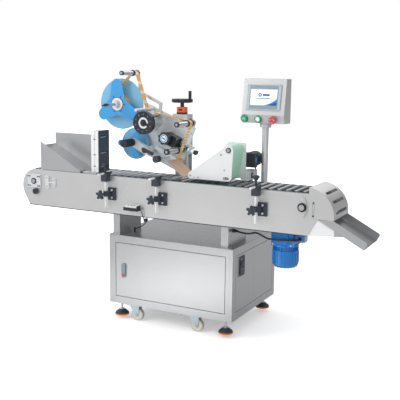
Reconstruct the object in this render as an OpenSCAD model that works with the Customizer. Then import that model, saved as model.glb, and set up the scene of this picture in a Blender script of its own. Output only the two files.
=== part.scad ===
// Round bottle labeling machine: a cabinet on castors, a roller track with a feed hopper and a
// discharge chute, a label head on a lifting column, a wrap belt unit and a swivelling control box.
// Shapes are drawn from the cabinet's lower front left corner, X along the track, Y to the back,
// then set down on the castors with the origin on the floor under the middle of the machine.

/* [Cabinet] */
// Width of the cabinet along the track
cab_w = 800; // [760:10:900]
// Depth of the cabinet
cab_d = 622; // [580:2:680]
// Height of the cabinet body
cab_h = 414; // [380:2:460]
// Width of the frame that shows round the door and the panels
post_w = 42; // [38:1:48]
// Depth of the lower and upper rails that feet and castors screw into
rail_d = 84; // [80:1:100]
// Thickness of the cabinet sheet
sheet_t = 3; // [2:0.5:3.5]
// Gap that shows round the door and the panels
reveal = 3; // [3:0.5:5]
// Thickness of the door pan
door_t = 18; // [14:1:24]
// Radius of the door's pivot pins
door_pin_r = 3; // [2.5:0.5:4]
// Reach of each pivot pin past the door
door_pin_l = 14; // [10:1:18]
// Width of the power inlet plate
inlet_w = 80; // [60:2:100]
// Height of the power inlet plate
inlet_h = 112; // [90:2:130]
// Distance of the power inlet plate from the cabinet's front
inlet_y = 76; // [60:2:110]
// Bottom of the power inlet plate
inlet_z = 242; // [200:2:260]

/* [Door latch] */
// Width of the latch handle
latch_w = 26; // [22:1:30]
// Length of the latch handle
latch_l = 88; // [76:2:100]
// Thickness of the latch handle
latch_t = 9; // [7:1:12]
// Distance of the latch from the cabinet's left side
latch_x = 100; // [90:2:140]
// Height of the latch handle's top
latch_z = 249; // [200:1:280]
// Radius of the latch shaft
latch_shaft_r = 6; // [5:0.5:8]
// Radius of the latch button
latch_button_r = 9; // [7:0.5:10]
// Travel of the latch button
latch_travel = 2; // [1:0.5:3]

/* [Feet and castors] */
// Height of the cabinet's underside over the floor
stand_h = 102; // [96:1:110]
// Height of the levelling feet over the floor while the castors carry the machine
foot_lift = 22; // [16:1:26]
// Distance of the feet from the cabinet's sides
foot_x = 56; // [54:1:58]
// Distance of the feet from the cabinet's front and back
foot_y = 45; // [40:1:50]
// Radius of the foot's dome
foot_r = 39; // [34:1:40]
// Height of the foot's dome
foot_h = 27; // [22:1:30]
// Radius of the rubber pad
pad_r = 42; // [36:1:43]
// Thickness of the rubber pad
pad_t = 8; // [6:1:10]
// Radius of the foot's stud
stud_r = 6; // [5:0.5:8]
// Distance of the left castors from the cabinet's left side
castor_x1 = 154; // [152:1:180]
// Distance of the right castors from the cabinet's right side
castor_x2 = 248; // [180:1:300]
// Distance of the castors from the cabinet's front and back
castor_y = 45; // [40:1:50]
// Radius of the castor wheels
wheel_r = 37.5; // [34:0.5:38]
// Width of the castor wheels
wheel_w = 24; // [20:1:28]
// Trail of the castor wheels
trail = 14; // [10:1:18]
// Radius of the castor's axle
axle_r = 4; // [3:0.5:5]
// Radius of the castor's stem
stem_r = 6; // [5:0.5:7]
// Reach of the castor's stem into the rail
stem_l = 24; // [18:1:30]

/* [Track frame] */
// Width of each pedestal
ped_w = 44; // [36:1:52]
// Distance of the left pedestal from the cabinet's left side
ped_x1 = 13; // [0:1:40]
// Distance of the right pedestal from the cabinet's right side
ped_x2 = 40; // [20:1:60]
// Lap of the pedestals behind the side plates
ped_lap = 30; // [20:1:40]
// Outer face of the front side plate
plate_y = 20; // [14:1:26]
// Width of the track over both side plates
track_w = 245; // [235:1:260]
// Thickness of the side plates
plate_t = 4; // [3:0.5:5]
// Bottom of the side plates over the cabinet's underside
plate_bot = 530; // [520:1:545]
// Height of the side plates
plate_h = 227; // [222:1:236]
// Radius of the side plates' left end
end_r = 106; // [100:1:112]
// Distance of the left end's centre left of the cabinet
end_x = 551; // [500:1:600]
// Right end of the side plates' top
plate_x1 = 1240; // [1220:1:1250]
// Right corner of the side plates under the hood
nose_x = 1263; // [1255:1:1275]
// Right end of the side plates' bottom
plate_x2 = 1210; // [1180:1:1230]
// Height of the lower edge of the hood
nose_z = 627; // [620:1:636]
// Radius of the cross bars
bar_r = 10; // [8:1:12]
// Number of the cross bars
bar_n = 5; // [3:1:7]

/* [Track] */
// Height of the shafts over the cabinet's underside
shaft_z = 682; // [678:1:686]
// Distance of the idler shaft left of the cabinet
idler_x = 563; // [540:1:570]
// Place of the drive shaft
drive_x = 1181; // [1170:1:1186]
// Radius of the path of the track rollers round the shafts
track_r = 66; // [62:1:68]
// Radius of the track rollers
roller_r = 12; // [9:0.5:13]
// Spacing of the track rollers
roller_pitch = 48; // [40:1:60]
// Height of the side chains
link_h = 16; // [12:1:18]
// Width of the side chains
link_w = 6; // [4:0.5:7]
// Gap between side plate and side chain
chain_in = 10; // [8:0.5:12]
// Radius of the drive shaft
shaft_r = 15; // [12:0.5:16]
// Radius of the idler shaft
idler_r = 12; // [10:0.5:14]
// Thickness of the flange bearings and bearing plates
bearing_t = 9; // [7:0.5:12]

/* [End hood and chute] */
// Radius of the end hood
hood_r = 148; // [140:1:152]
// Place of the hood's centre
hood_x = 1203; // [1195:1:1210]
// Height of the hood's centre
hood_z = 640; // [636:1:644]
// Left edge of the hood's side plates
hood_x0 = 1214; // [1212:1:1222]
// Thickness of the hood's curved sheet and of the chute
skin_t = 2; // [1.5:0.5:3]
// Width of the slots in the hood
slot_w = 16; // [10:1:20]
// Length of the chute
chute_l = 281; // [240:1:320]
// Slope of the chute in degrees
chute_tilt = 28; // [24:0.5:32]
// Height of the chute's side walls
chute_wall = 41; // [34:1:48]

/* [Gear motor] */
// Place of the motor's axis along the track
motor_x = 1047; // [1040:1:1056]
// Distance of the motor's axis from the cabinet's front
motor_y = 150; // [144:1:154]
// Radius of the motor
motor_r = 64; // [58:1:68]
// Radius of the fan cover
fan_r = 71; // [66:1:74]
// Bottom of the fan cover
fan_z = 324; // [310:1:330]
// Height of the fan cover
fan_h = 94; // [80:1:100]
// Height of the gearbox
gearbox_h = 86; // [76:1:96]
// Width of the gearbox
gearbox_w = 124; // [112:1:130]
// Length of the terminal box
term_l = 52; // [44:1:60]
// Height of the terminal box
term_h = 62; // [50:1:68]
// Radius of the two small sprockets of the drive chain
pinion_r = 28; // [24:1:30]

/* [Feed hopper] */
// Distance of the hopper's left edge left of the cabinet
hop_x = 515; // [505:1:525]
// Distance of the hopper's tip left of the cabinet
hop_tip = 222; // [216:1:232]
// Height of the hopper's front wall over the side plates
hop_h = 172; // [150:1:185]
// Height of the hopper's rear wall over the side plates
hop_back_h = 216; // [190:1:235]
// Distance of the rear wall's right edge left of the cabinet
hop_x2 = 150; // [140:1:170]
// Outer distance of the hopper's rear wall from the cabinet's front
hop_y = 175; // [165:1:190]
// Distance of the gate column's left edge left of the cabinet
gate_x = 152; // [148:1:160]
// Width of the gate column
gate_w = 50; // [44:1:56]
// Front face of the gate column
gate_y = 42; // [42:0.5:50]
// Depth of the gate column
gate_d = 106; // [90:1:110]
// Height of the gate column
gate_h = 247; // [220:1:260]
// Thickness of the gate panel
gate_t = 6; // [4:0.5:8]

/* [Bottle guides] */
// Radius of the guide posts and cross rods
rod_r = 6; // [5:0.5:7]
// Length of the guide posts
rod_l = 190; // [175:1:194]
// Height of the guide posts' lower ends
rod_z = 572; // [560:1:576]
// Size of the cross blocks
block_w = 38; // [32:1:42]
// Reach of the cross rods in front of the cross blocks
tail_l = 54; // [40:1:70]
// Reach of the cross rods over the track
reach_l = 34; // [20:1:40]
// Width of the bracket plates
bracket_w = 46; // [40:1:52]
// Height of the bracket plates
bracket_h = 74; // [64:1:84]
// Radius of the star knobs
star_r = 23; // [18:1:26]
// Length of the sensor amplifier
amp_l = 92; // [80:1:100]
// Depth of the sensor amplifier
amp_d = 40; // [30:1:44]
// Height of the sensor amplifier
amp_h = 30; // [24:1:36]

/* [Wrap unit] */
// Place of the top roller
wrap_x = 735; // [730:1:740]
// Height of the top roller
wrap_z = 944; // [930:1:960]
// Radius of the top roller
wrap_r = 22; // [18:1:24]
// Place of the left roller
wrap_left_x = 503; // [480:1:540]
// Place of the right roller
wrap_right_x = 714; // [706:1:720]
// Radius of the two lower rollers
wrap_low_r = 17; // [14:1:18]
// Height of the belt's lower run over the track rollers
wrap_gap = 12; // [8:1:20]
// Outer face of the front plate of the wrap unit
wrap_y = 60; // [56:1:66]
// Width over both plates of the wrap unit
wrap_w = 156; // [146:1:164]
// Thickness of the plates of the wrap unit
wrap_t = 6; // [4:0.5:8]
// Thickness of the wrap belt
belt_t = 2; // [1.5:0.5:3]
// Radius of the wrap unit's post
post_r = 12.5; // [11:0.5:14]
// Place of the wrap unit's post along the track
post_x = 770; // [762:1:776]
// Radius of the wrap motor
wrap_motor_r = 42; // [36:1:44]
// Place of the wrap motor
wrap_motor_x = 784; // [778:1:786]
// Height of the wrap motor
wrap_motor_z = 879; // [876:1:886]
// Length of the wrap motor
wrap_motor_l = 76; // [60:1:90]

/* [Label head] */
// Tilt of the head plate in degrees
head_tilt = 22; // [18:0.5:26]
// Length of the head plate
head_l = 354; // [345:1:362]
// Height of the head plate
head_h = 285; // [275:1:290]
// Thickness of the head plate
head_t = 8; // [6:0.5:10]
// Front face of the head plate
head_y = 240; // [232:1:242]
// Share of the head plate's length from its lower left corner to the column
head_share = 0.8983; // [0.88:0.005:0.91]
// Height of the head plate's lower left corner
head_z = 907; // [905:1:915]
// Front end of the head's rollers
roller_y = 50; // [44:1:60]
// Radius of the supply reel
reel_r = 150; // [140:1:152]
// Radius of the supply reel's hub
hub_r = 58; // [50:1:64]
// Radius of the take-up reel
takeup_r = 94; // [86:1:96]
// Radius of the clutch wheel
clutch_r = 66; // [60:1:67]
// Radius of the drive roller
drive_r = 17; // [14:1:19]
// Radius of the corner roller
corner_r = 15; // [12:1:17]
// Radius of the tension roller
dancer_r = 13; // [11:1:15]
// Radius of the pressure roller
pinch_r = 23; // [19:1:24]
// Radius of the tension knob
knob_r = 39; // [34:1:41]
// Width of the label web
web_w = 40; // [30:1:44]
// Thickness of the label web
web_t = 1; // [0.8:0.1:1.5]
// Width of the peel plate
peel_w = 140; // [120:1:150]

/* [Column] */
// Place of the column along the track
col_x = 323; // [316:1:330]
// Distance of the column's middle from the cabinet's front
col_y = 291; // [289:1:294]
// Width of the column's blocks
col_w = 100; // [92:1:108]
// Depth of the column's blocks
col_d = 52; // [50:1:56]
// Bottom of the column
col_z = 600; // [590:1:620]
// Height of the column
col_h = 512; // [506:1:520]
// Height of the lower block
col_base_h = 60; // [50:1:70]
// Height of the upper block
col_top_h = 26; // [22:1:30]
// Radius of the guide rods
guide_r = 10; // [8:0.5:11]
// Radius of the lead screw
screw_r = 8; // [7:0.5:9]
// Height of the carriage
carriage_h = 120; // [100:1:140]
// Height of the position indicator
count_h = 42; // [36:1:48]
// Radius of the handwheel
hand_r = 62; // [54:1:68]
// Height of the grip over the handwheel
grip_h = 48; // [40:1:56]

/* [Control box] */
// Place of the pole along the track
pole_x = 849; // [846:1:856]
// Distance of the pole from the cabinet's front
pole_y = 300; // [298:1:306]
// Radius of the pole
pole_r = 19; // [16:0.5:20]
// Height of the pole's top
pole_top = 1074; // [1060:1:1090]
// Width of the control box
box_w = 252; // [240:1:264]
// Height of the control box
box_h = 243; // [230:1:256]
// Depth of the control box's body
box_d = 100; // [92:1:110]
// Height of the strip that holds the buttons
strip_h = 46; // [42:1:50]
// Set-back of the button strip at its bottom
strip_in = 12; // [8:1:16]
// Lean of the control box's face over its height
face_in = 34; // [26:1:40]
// Width of the screen's bezel
bezel_w = 198; // [180:1:210]
// Height of the screen's bezel
bezel_h = 142; // [130:1:150]
// Thickness of the screen's bezel
bezel_t = 6; // [4:0.5:8]
// Radius of the buttons
button_r = 17; // [14:0.5:18]
// Travel of the buttons
button_travel = 4; // [2:0.5:5]

/* [Clearances] */
// Radial running clearance of pins and shafts
play = 0.05; // [0.02:0.01:0.1]
// Gap between pieces that move past each other
gap = 0.4; // [0.3:0.05:0.6]

/* [Hidden] */
$fn = 64;
// Overrun of cuts through a face
cut = 1;
// Step of the points along a band's turns
arc_step = 6;
// Faces of the lower rails and the door opening
frame_h = cab_h - sheet_t;
open_h = frame_h - 2 * post_w;
door_x0 = post_w + reveal;
door_w = cab_w - 2 * door_x0;
door_z0 = post_w + reveal;
door_h = open_h - 2 * reveal;
door_rim = 16;
door_pin_in = 5;
door_pin_x = cab_w - door_x0 - door_pin_in;
latch_pivot_z = latch_z - latch_w / 2;
latch_button_z = latch_z - latch_l + 1.5 * latch_button_r + sheet_t;
cam_l = 42;
latch_proud = 3;
inlet_t = 4;
inlet_hole_r = 9;

// Feet and castors
pad_z = foot_lift - stand_h;
nut_h = 10;
nut_r = 12;
dome_neck_share = 0.34;
dome_rim_share = 0.2;
foot_places = [for (x = [foot_x, cab_w - foot_x], y = [foot_y, cab_d - foot_y]) [x, y]];
castor_places = [for (x = [castor_x1, cab_w - castor_x2], y = [castor_y, cab_d - castor_y]) [x, y]];
swivel_r = 28;
swivel_t = 5;
crown_t = 8;
crown_l = 64;
ear_t = 3;
ear_gap = 3;
fork_w = wheel_w + 2 * (ear_gap + ear_t);
axle_z = wheel_r - stand_h;
axle_l = fork_w + 2 * ear_t;
ear_r = 12;
pedal_l = 34;
pedal_t = 7;
crown_z = -gap - swivel_t - crown_t;

// Track frame
plate_top = plate_bot + plate_h;
end_z = plate_top - end_r;
front_in = plate_y + plate_t;
rear_out = plate_y + track_w;
rear_in = rear_out - plate_t;
end_angle = 207;
end_cut_x = 604;
chain_y1 = front_in + chain_in;
chain_y2 = rear_in - chain_in - link_w;
track_top = shaft_z + track_r + roller_r;
track_l = drive_x + idler_x;
half_loop = track_l + PI * track_r;
roller_n = floor(2 * half_loop / roller_pitch);
roller_step = 2 * half_loop / roller_n;
link_in_r = track_r - link_h / 2;
strip_t = 12;
strip_x0 = -idler_x + track_r;
strip_x1 = drive_x - track_r;
side_loop = [[-idler_x, shaft_z, link_in_r], [drive_x, shaft_z, link_in_r]];
pinion_z = plate_bot - gearbox_h / 2;
pinion_t = 6;
pinion_y = rear_in - pinion_t - sheet_t + 1 * cut;
chain_t = 5;
motor_plate_z = plate_bot;
gearbox_z = motor_plate_z - gearbox_h;
motor_plate_t = 6;
motor_plate_l = gearbox_w + 2 * bar_r;
hub_len = 14;
shaft_end = 8;

// Hood and chute
hood_t = plate_t;
hood_y0 = plate_y - hood_t;
hood_y1 = rear_out + hood_t;
slot_edge = 38;
slot_angles = [52, 30, 8];
chute_foot = nose_z - skin_t / cos(chute_tilt);
wall_start = (chute_wall * cos(chute_tilt) + chute_foot - nose_z) / sin(chute_tilt);
lip_r = 12;
gusset_t = 3;
gusset_lap = 28;
gusset_l = 199;
gusset_x = plate_x2 + gusset_l;
gusset_z = chute_foot + skin_t / 2;

// Hopper and gate
hop_t = 3;
hop_lap = 16;
hop_lip = 24;
hop_rest = 8;
track_clear = 3;
hop_floor_t = 2;
gate_z = track_top + track_clear;
gate_foot_l = 42;
gate_slot_l = 44;
gate_slot_h = 5;
gate_slot_shares = [0.13, 0.46, 0.84];

// Bottle guides
guide_xs = [-23, 318, 927];
knob_shares = [1, 0, 1];
boss_r = 13;
rod_out = 22.5;
rod_y = plate_y - rod_out;
star_stem = 34;
star_tip = 8;
star_valley = 0.45;
boss_l = 32;
bracket_t = 10;
bracket_z = 651;
star_t = 15;
rod_wall = 2;
star_n = 5;
block_low = 33;
block_up = 20;
block_gap = 1.2;
block_seat = 6;
tee_up = 66;
tee_z = plate_top + tee_up;
lever_l = 30;
lever_r = 5;
tee_r = 7;
amp_x = 110;
amp_z = 568;

// Wrap unit
wrap_back = wrap_y + wrap_w;
wrap_low_z = track_top + wrap_gap + belt_t + wrap_low_r;
wrap_loop = [[wrap_left_x, wrap_low_z, wrap_low_r], [wrap_right_x, wrap_low_z, wrap_low_r],
    [wrap_x, wrap_z, wrap_r]];
wrap_pin_r = 6;
wrap_edge = 6;
wrap_spacer_r = 6;
wrap_spacers = [[0.42, 0.34], [0.86, 0.62]];
clamp_w = 60;
clamp_back = 8;
clamp_z = 766;
clamp_h = 51;
post_z = 620;
post_h = 200;
post_block_h = 80;
post_block_w = 56;
motor_square = 80;
motor_square_l = 38;
motor_lead_r = 4;
motor_lead_l = 98;

// Label head: places on the head plate as shares of its length and height
head_x = col_x - head_share * head_l;
reel_shares = [-0.414, 0.759];
takeup_shares = [0.082, 0.13];
clutch_shares = [0.256, 0.724];
knob_place_shares = [0.646, 0.59];
box_shares = [0.722, 0.575];
drive_shares = [0.909, 0.476];
corner_shares = [0.912, 1.068];
dancer_shares = [-0.33, 1.5];
dancer_pivot_shares = [0.3, 0.94];
dancer_knee_shares = [0.26, 1.13];
dancer_elbow_shares = [-0.17, 1.15];
guide_shares = [0.14, 0.955];
pinch_shares = [0.143, 0.218];
pinch_pivot_shares = [0.423, 0.19];
low_knob_shares = [0.771, 0.233];
peel_top_shares = [0.95, 0.3];
peel_tip_shares = [1.315, 0.172];
sensor_shares = [1.1, 0.62];
pin_r = 5;
pin_l = head_t - gap;
lug_r = 20;
arm_w = 44;
disc_t = 4;
disc_in = 22;
disc_y = head_y - disc_in;
reel_side = 2;
lobe_y = disc_y - web_w - 2 * reel_side;
lobe_n = 3;
lobe_tip_r = 36;
lobe_turn = 114;
takeup_turn = 79;
spindle_r = 9;
spindle_y = 38;
collar_t = 5;
collar_up = 5;
web_y = lobe_y + reel_side;
guide_bar_r = 9;
back_turn = 300;
drum_l = 105;
drum_y = head_y - drum_l;
clutch_t = 30;
box_gap = 1.2;
box_l = 2 * ((drive_shares[0] - box_shares[0]) * head_l - drive_r - collar_up - box_gap);
box_t = 64;
box_in = 55;
box_y = head_y - box_in;
knob_t = 26;
knob_n = 8;
dancer_t = 8;
dancer_w = 18;
arm_shares = [1, 0.94, 0.88];
pinch_y = 40;
pinch_l = 92;
pinch_arm_y = 138;
pinch_arm_t = 26;
pinch_arm_w = 46;
peel_t = 3;
peel_arm_w = 26;
peel_arm_y = head_y - 36;
low_knob_r = 20;
low_knob_l = 34;

// Column
col_front = col_y - col_d / 2;
col_back_t = 8;
rod_span = 34;
rail_z = col_z + col_base_h;
top_z = col_z + col_h - col_top_h;
carriage_z = 880;
carriage_w = 120;
count_w = 50;
count_z = col_z + col_h;
count_d = 40;
hand_z = count_z + count_h + 26;
hand_t = 20;
neck_r = 11;
grip_r = 9;
grip_in = 2;

// Control box
pole_z = 640;
pole_block_w = 70;
pole_block_h = 95;
collar_r = 33;
collar_h = 16;
spigot_r = 15;
spigot_l = 40;
flange_h = 9;
box_z = pole_top + gap + flange_h;
box_y0 = pole_y - box_d / 2;
face_tilt = atan(face_in / (box_h - strip_h));
strip_tilt = atan(strip_in / strip_h);
screen_up = 26;
screen_rim_shares = [0.1, 0.19];
button_places = [-110, -27, 62];
button_proud = 12;
button_seat = 14;
bezel_ring = 4;
bezel_up = 3;

// Overall box of the machine, from which the origin follows
x_lo = -end_x - end_r;
x_hi = nose_x + (chute_l - lip_r) * cos(chute_tilt) + (chute_wall - lip_r) * sin(chute_tilt)
    + lip_r;
y_lo = rod_y - block_w / 2 - tail_l;
y_hi = cab_d;
mid_x = (x_lo + x_hi) / 2;
mid_y = (y_lo + y_hi) / 2;

// Motor cable from the right pedestal to the terminal box
motor_route = [[760, 92, 498], [772, 92, 498], [790, 87, 497], [815, 78, 496], [849, 66, 497],
    [875, 62, 501], [900, 61, 508], [925, 61, 505], [955, 61, 492], [985, 61, 484],
    [1040, 61, 484], [1090, 62, 488], [1118, 72, 489], [1134, 88, 488], [1138, 104, 488],
    [1138, 124, 488]];
motor_cable_r = 5;
// Sensor cable from the amplifier to the cabinet's top
sensor_route = [[202, 0, 580], [208, 0, 580], [214, 2, 574], [217, 6, 562], [220, 10, 548],
    [223, 13, 534], [224, 20, 521], [222, 34, 516], [205, 80, 494], [162, 118, 462],
    [112, 142, 436], [86, 151, 427], [80, 152, 422], [80, 152, 414]];
sensor_cable_r = 2.5;
sensor_plug = [16, 26, 18];
sensor_plug_at = [221, 46, 510];

// Outward direction of the straight run from circle a to circle b of a loop listed leftwards round
function run_angle(a, b) = let (d = [b[0] - a[0], b[1] - a[1]])
    atan2(d[1], d[0]) - acos((a[2] - b[2]) / norm(d));
// Point on a circle's rim
function on_rim(c, a, grow) = [c[0] + (c[2] + grow) * cos(a), c[1] + (c[2] + grow) * sin(a)];
// Both ends of each straight run of a loop
function runs(c, grow) = [for (i = [0:len(c) - 1])
    let (a = c[i], b = c[(i + 1) % len(c)], n = run_angle(a, b))
    each [on_rim(a, n, grow), on_rim(b, n, grow)]];
// Direction a reached from a0, leftwards round a circle or rightwards where its radius is negative
// and not at all where that is almost a full turn
function turned(a0, a, r) = let (s = sign(r), t = (s * (a - a0) % 360 + 360) % 360)
    t > back_turn ? a0 : a0 + s * t;
// Points along a circle's rim from a0 to a1
function arc_points(c, a0, a1, grow) = let (n = ceil(abs(a1 - a0) / arc_step))
    [for (k = [0:n]) on_rim(c, n > 0 ? a0 + (a1 - a0) * k / n : a0, grow)];
// Points along a band that runs over circles, from the first to the last of those asked for
function path_points(c, first, last, grow) = [for (i = [first:last])
    let (a0 = i > 0 ? run_angle(c[i - 1], c[i]) : run_angle(c[i], c[i + 1]),
        a1 = i < len(c) - 1 ? turned(a0, run_angle(c[i], c[i + 1]), c[i][2]) : a0)
    each arc_points(c[i], i == first ? a1 : a0, a1, grow)];
// Points round a closed belt
function belt_points(c, grow) = let (n = len(c)) [for (i = [0:n - 1])
    let (a0 = run_angle(c[(i + n - 1) % n], c[i]),
        a1 = turned(a0, run_angle(c[i], c[(i + 1) % n]), c[i][2]))
    each arc_points(c[i], a0, a1, grow)];
function backwards(v) = [for (i = [len(v) - 1:-1:0]) v[i]];
// Place along the roller track's path, from over the idler to over the drive shaft and back
function track_point(s) = s < track_l ? [s - idler_x, shaft_z + track_r]
    : s < half_loop ? [drive_x + track_r * sin(track_turn(s - track_l)),
        shaft_z + track_r * cos(track_turn(s - track_l))]
    : s < half_loop + track_l ? [drive_x - s + half_loop, shaft_z - track_r]
    : [-idler_x - track_r * sin(track_turn(s - half_loop - track_l)),
        shaft_z - track_r * cos(track_turn(s - half_loop - track_l))];
function track_turn(s) = s / track_r * 180 / PI;
// Place on the head plate from its shares
function on_head(p) = [p[0] * head_l, p[1] * head_h];
function unit(v) = v / norm(v);

// Sets the machine down with the origin on the floor under its middle
module place() {
    translate([-mid_x, -mid_y, stand_h]) children();
}

// Extrudes an outline in X and Z from y0 to y1
module along_y(y0, y1) {
    translate([0, y1, 0]) rotate([90, 0, 0]) linear_extrude(y1 - y0) children();
}

// Round bar along Y
module bar_y(p, r, y0, y1) {
    translate([p[0], y0, p[1]]) rotate([-90, 0, 0]) cylinder(r = r, h = y1 - y0);
}

// Outline of a loop round circles [x, z, r]
module loop_shape(c, grow = 0) {
    polygon(runs(c, grow));
    for (p = c) translate([p[0], p[1]]) circle(r = p[2] + grow);
}

// Belt or chain of thickness t round circles
module belt_ring(c, t, grow = 0) {
    difference() {
        loop_shape(c, grow + t);
        loop_shape(c, grow);
    }
}

// Straight bar of width w between two places
module link_shape(a, b, w) {
    loop_shape([[a[0], a[1], w / 2], [b[0], b[1], w / 2]]);
}

// The same, with its round ends drawn as points
module bar_shape(a, b, w) {
    polygon(belt_points([[a[0], a[1], w / 2], [b[0], b[1], w / 2]], 0));
}

// Knob outline with n lobes
module lobed_shape(r, n) {
    circle(r = r * 0.86);
    for (i = [0:n - 1]) rotate(i * 360 / n) translate([r * 0.72, 0]) circle(r = r * 0.28);
}

// Tube swept along a route
module tube(route, r, sides) {
    n = len(route);
    dir = [for (i = [0:n - 1]) unit(route[min(i + 1, n - 1)] - route[max(i - 1, 0)])];
    side = [for (i = 0, s = unit(cross(dir[0], [0, 0, 1])); i < n;
        i = i + 1, s = i < n ? unit(s - (s * dir[i]) * dir[i]) : s) s];
    points = [for (i = [0:n - 1], k = [0:sides - 1])
        let (a = k * 360 / sides, up = cross(dir[i], side[i]))
        route[i] + r * (cos(a) * side[i] + sin(a) * up)];
    walls = [for (i = [0:n - 2], k = [0:sides - 1])
        let (a = i * sides + k, b = i * sides + (k + 1) % sides)
        each [[a, a + sides, b], [b, a + sides, b + sides]]];
    first = [for (k = [1:sides - 2]) [0, k, k + 1]];
    base = (n - 1) * sides;
    last = [for (k = [1:sides - 2]) [base, base + k + 1, base + k]];
    polyhedron(points, concat(walls, first, last));
}

module cabinet_frame() {
    color("gainsboro") place() difference() {
        cube([cab_w, cab_d, frame_h]);
        translate([post_w, -cut, post_w])
            cube([cab_w - 2 * post_w, cab_d + 2 * cut, open_h]);
        translate([-cut, post_w, post_w])
            cube([cab_w + 2 * cut, cab_d - 2 * post_w, open_h]);
        translate([post_w, rail_d, -cut])
            cube([cab_w - 2 * post_w, cab_d - 2 * rail_d, frame_h + 2 * cut]);
        for (p = castor_places)
            translate([p[0], p[1], -cut]) cylinder(r = stem_r + play, h = stem_l + gap + cut);
        translate([door_pin_x, door_pin_in, door_z0 - door_pin_l - gap])
            cylinder(r = door_pin_r + play, h = door_h + 2 * (door_pin_l + gap));
    }
}

module side_pan() {
    translate([0, door_z0, door_z0])
        cube([2 * sheet_t, cab_d - 2 * door_z0, door_h]);
    translate([sheet_t, post_w, post_w])
        cube([sheet_t, cab_d - 2 * post_w, open_h]);
}

module power_inlet() {
    difference() {
        translate([cab_w - cut, inlet_y, inlet_z]) cube([inlet_t + cut, inlet_w, inlet_h]);
        translate([cab_w, inlet_y + inlet_w / 2, inlet_z + inlet_h - 2 * inlet_hole_r])
            rotate([0, 90, 0]) cylinder(r = inlet_hole_r, h = inlet_t + cut);
    }
}

module cabinet_panels() {
    color("silver") place() {
        side_pan();
        translate([cab_w, 0, 0]) mirror([1, 0, 0]) side_pan();
        power_inlet();
        translate([door_x0, cab_d - 2 * sheet_t, door_z0])
            cube([cab_w - 2 * door_x0, 2 * sheet_t, door_h]);
        translate([post_w, cab_d - 2 * sheet_t, post_w])
            cube([cab_w - 2 * post_w, sheet_t, open_h]);
        translate([0, 0, frame_h]) cube([cab_w, cab_d, sheet_t]);
        translate([post_w, rail_d, 0])
            cube([cab_w - 2 * post_w, cab_d - 2 * rail_d, sheet_t]);
    }
}

module cabinet_door() {
    color("gainsboro") place() difference() {
        union() {
            translate([door_x0, 0, door_z0]) cube([door_w, door_t, door_h]);
            translate([door_pin_x, door_pin_in, door_z0 - door_pin_l])
                cylinder(r = door_pin_r, h = door_h + 2 * door_pin_l);
        }
        translate([door_x0 + door_rim, sheet_t, door_z0 + door_rim])
            cube([door_w - 2 * door_rim, door_t, door_h - 2 * door_rim]);
        bar_y([latch_x, latch_pivot_z], latch_shaft_r + play, -cut, door_t);
    }
}

module latch_handle() {
    color("lightslategray") place() difference() {
        union() {
            along_y(-gap - latch_t, -gap)
                link_shape([latch_x, latch_z - latch_w / 2],
                    [latch_x, latch_z - latch_l + latch_w / 2], latch_w);
            bar_y([latch_x, latch_pivot_z], latch_shaft_r, -gap - latch_t / 2,
                door_t + gap + sheet_t);
            along_y(door_t + gap, door_t + gap + sheet_t)
                link_shape([latch_x, latch_pivot_z], [latch_x - cam_l, latch_pivot_z],
                    2 * latch_shaft_r + 2 * sheet_t);
        }
        bar_y([latch_x, latch_button_z], latch_button_r + play, -gap - latch_t - cut,
            -gap - sheet_t);
    }
}

module latch_button() {
    color("firebrick") place()
        bar_y([latch_x, latch_button_z], latch_button_r, -gap - latch_t - latch_proud,
            -2 * gap - sheet_t - latch_travel);
}

module levelling_feet() {
    color("dimgray") place() for (p = foot_places) translate([p[0], p[1], 0]) {
        top = pad_z + pad_t;
        rotate_extrude()
            polygon([[0, top], [foot_r, top], [foot_r, top + foot_h * dome_rim_share],
                [foot_r * dome_neck_share, top + foot_h], [0, top + foot_h]]);
        translate([0, 0, top + foot_h / 2]) cylinder(r = stud_r, h = -top - foot_h / 2);
        translate([0, 0, -nut_h]) cylinder(r = nut_r, h = nut_h, $fn = 6);
    }
}

module foot_pads() {
    color("chocolate") place() for (p = foot_places)
        translate([p[0], p[1], pad_z]) cylinder(r = pad_r, h = pad_t);
}

module castor_fork(i) {
    p = castor_places[i];
    color("lightsteelblue") place() translate([p[0], p[1], 0]) difference() {
        union() {
            translate([0, 0, -gap - swivel_t])
                cylinder(r = stem_r, h = stem_l + gap + swivel_t);
            translate([0, 0, -gap - swivel_t]) cylinder(r = swivel_r, h = swivel_t);
            translate([-crown_l / 2, -fork_w / 2, crown_z])
                cube([crown_l, fork_w, crown_t]);
            for (y = [-fork_w / 2, fork_w / 2 - ear_t])
                along_y(y, y + ear_t) loop_shape([
                    [-crown_l / 2 + crown_t / 2, crown_z + crown_t / 2, crown_t / 2],
                    [trail, axle_z, ear_r],
                    [crown_l / 2 - crown_t / 2, crown_z + crown_t / 2, crown_t / 2]]);
            translate([-crown_l / 2 - pedal_l + crown_t, -wheel_w / 2, crown_z - crown_t / 2])
                rotate([0, -chute_tilt / 4, 0]) cube([pedal_l, wheel_w, pedal_t]);
        }
        bar_y([trail, axle_z], axle_r + play, -fork_w, fork_w);
    }
}

module castor_wheel(i) {
    p = castor_places[i];
    color("cornsilk") place() translate([p[0] + trail, p[1], axle_z]) {
        rotate([90, 0, 0]) cylinder(r = wheel_r, h = wheel_w, center = true);
        rotate([90, 0, 0]) cylinder(r = ear_r, h = wheel_w + ear_gap, center = true);
        rotate([90, 0, 0]) cylinder(r = axle_r, h = axle_l, center = true);
    }
}

module pedestals() {
    color("silver") place() for (x = [ped_x1, cab_w - ped_x2 - ped_w])
        translate([x, front_in, cab_h]) difference() {
            cube([ped_w, rear_in - front_in, plate_bot - cab_h + ped_lap]);
            translate([sheet_t, sheet_t, -cut])
                cube([ped_w - 2 * sheet_t, rear_in - front_in - 2 * sheet_t,
                    plate_bot - cab_h + ped_lap + 2 * cut]);
        }
}

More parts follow.
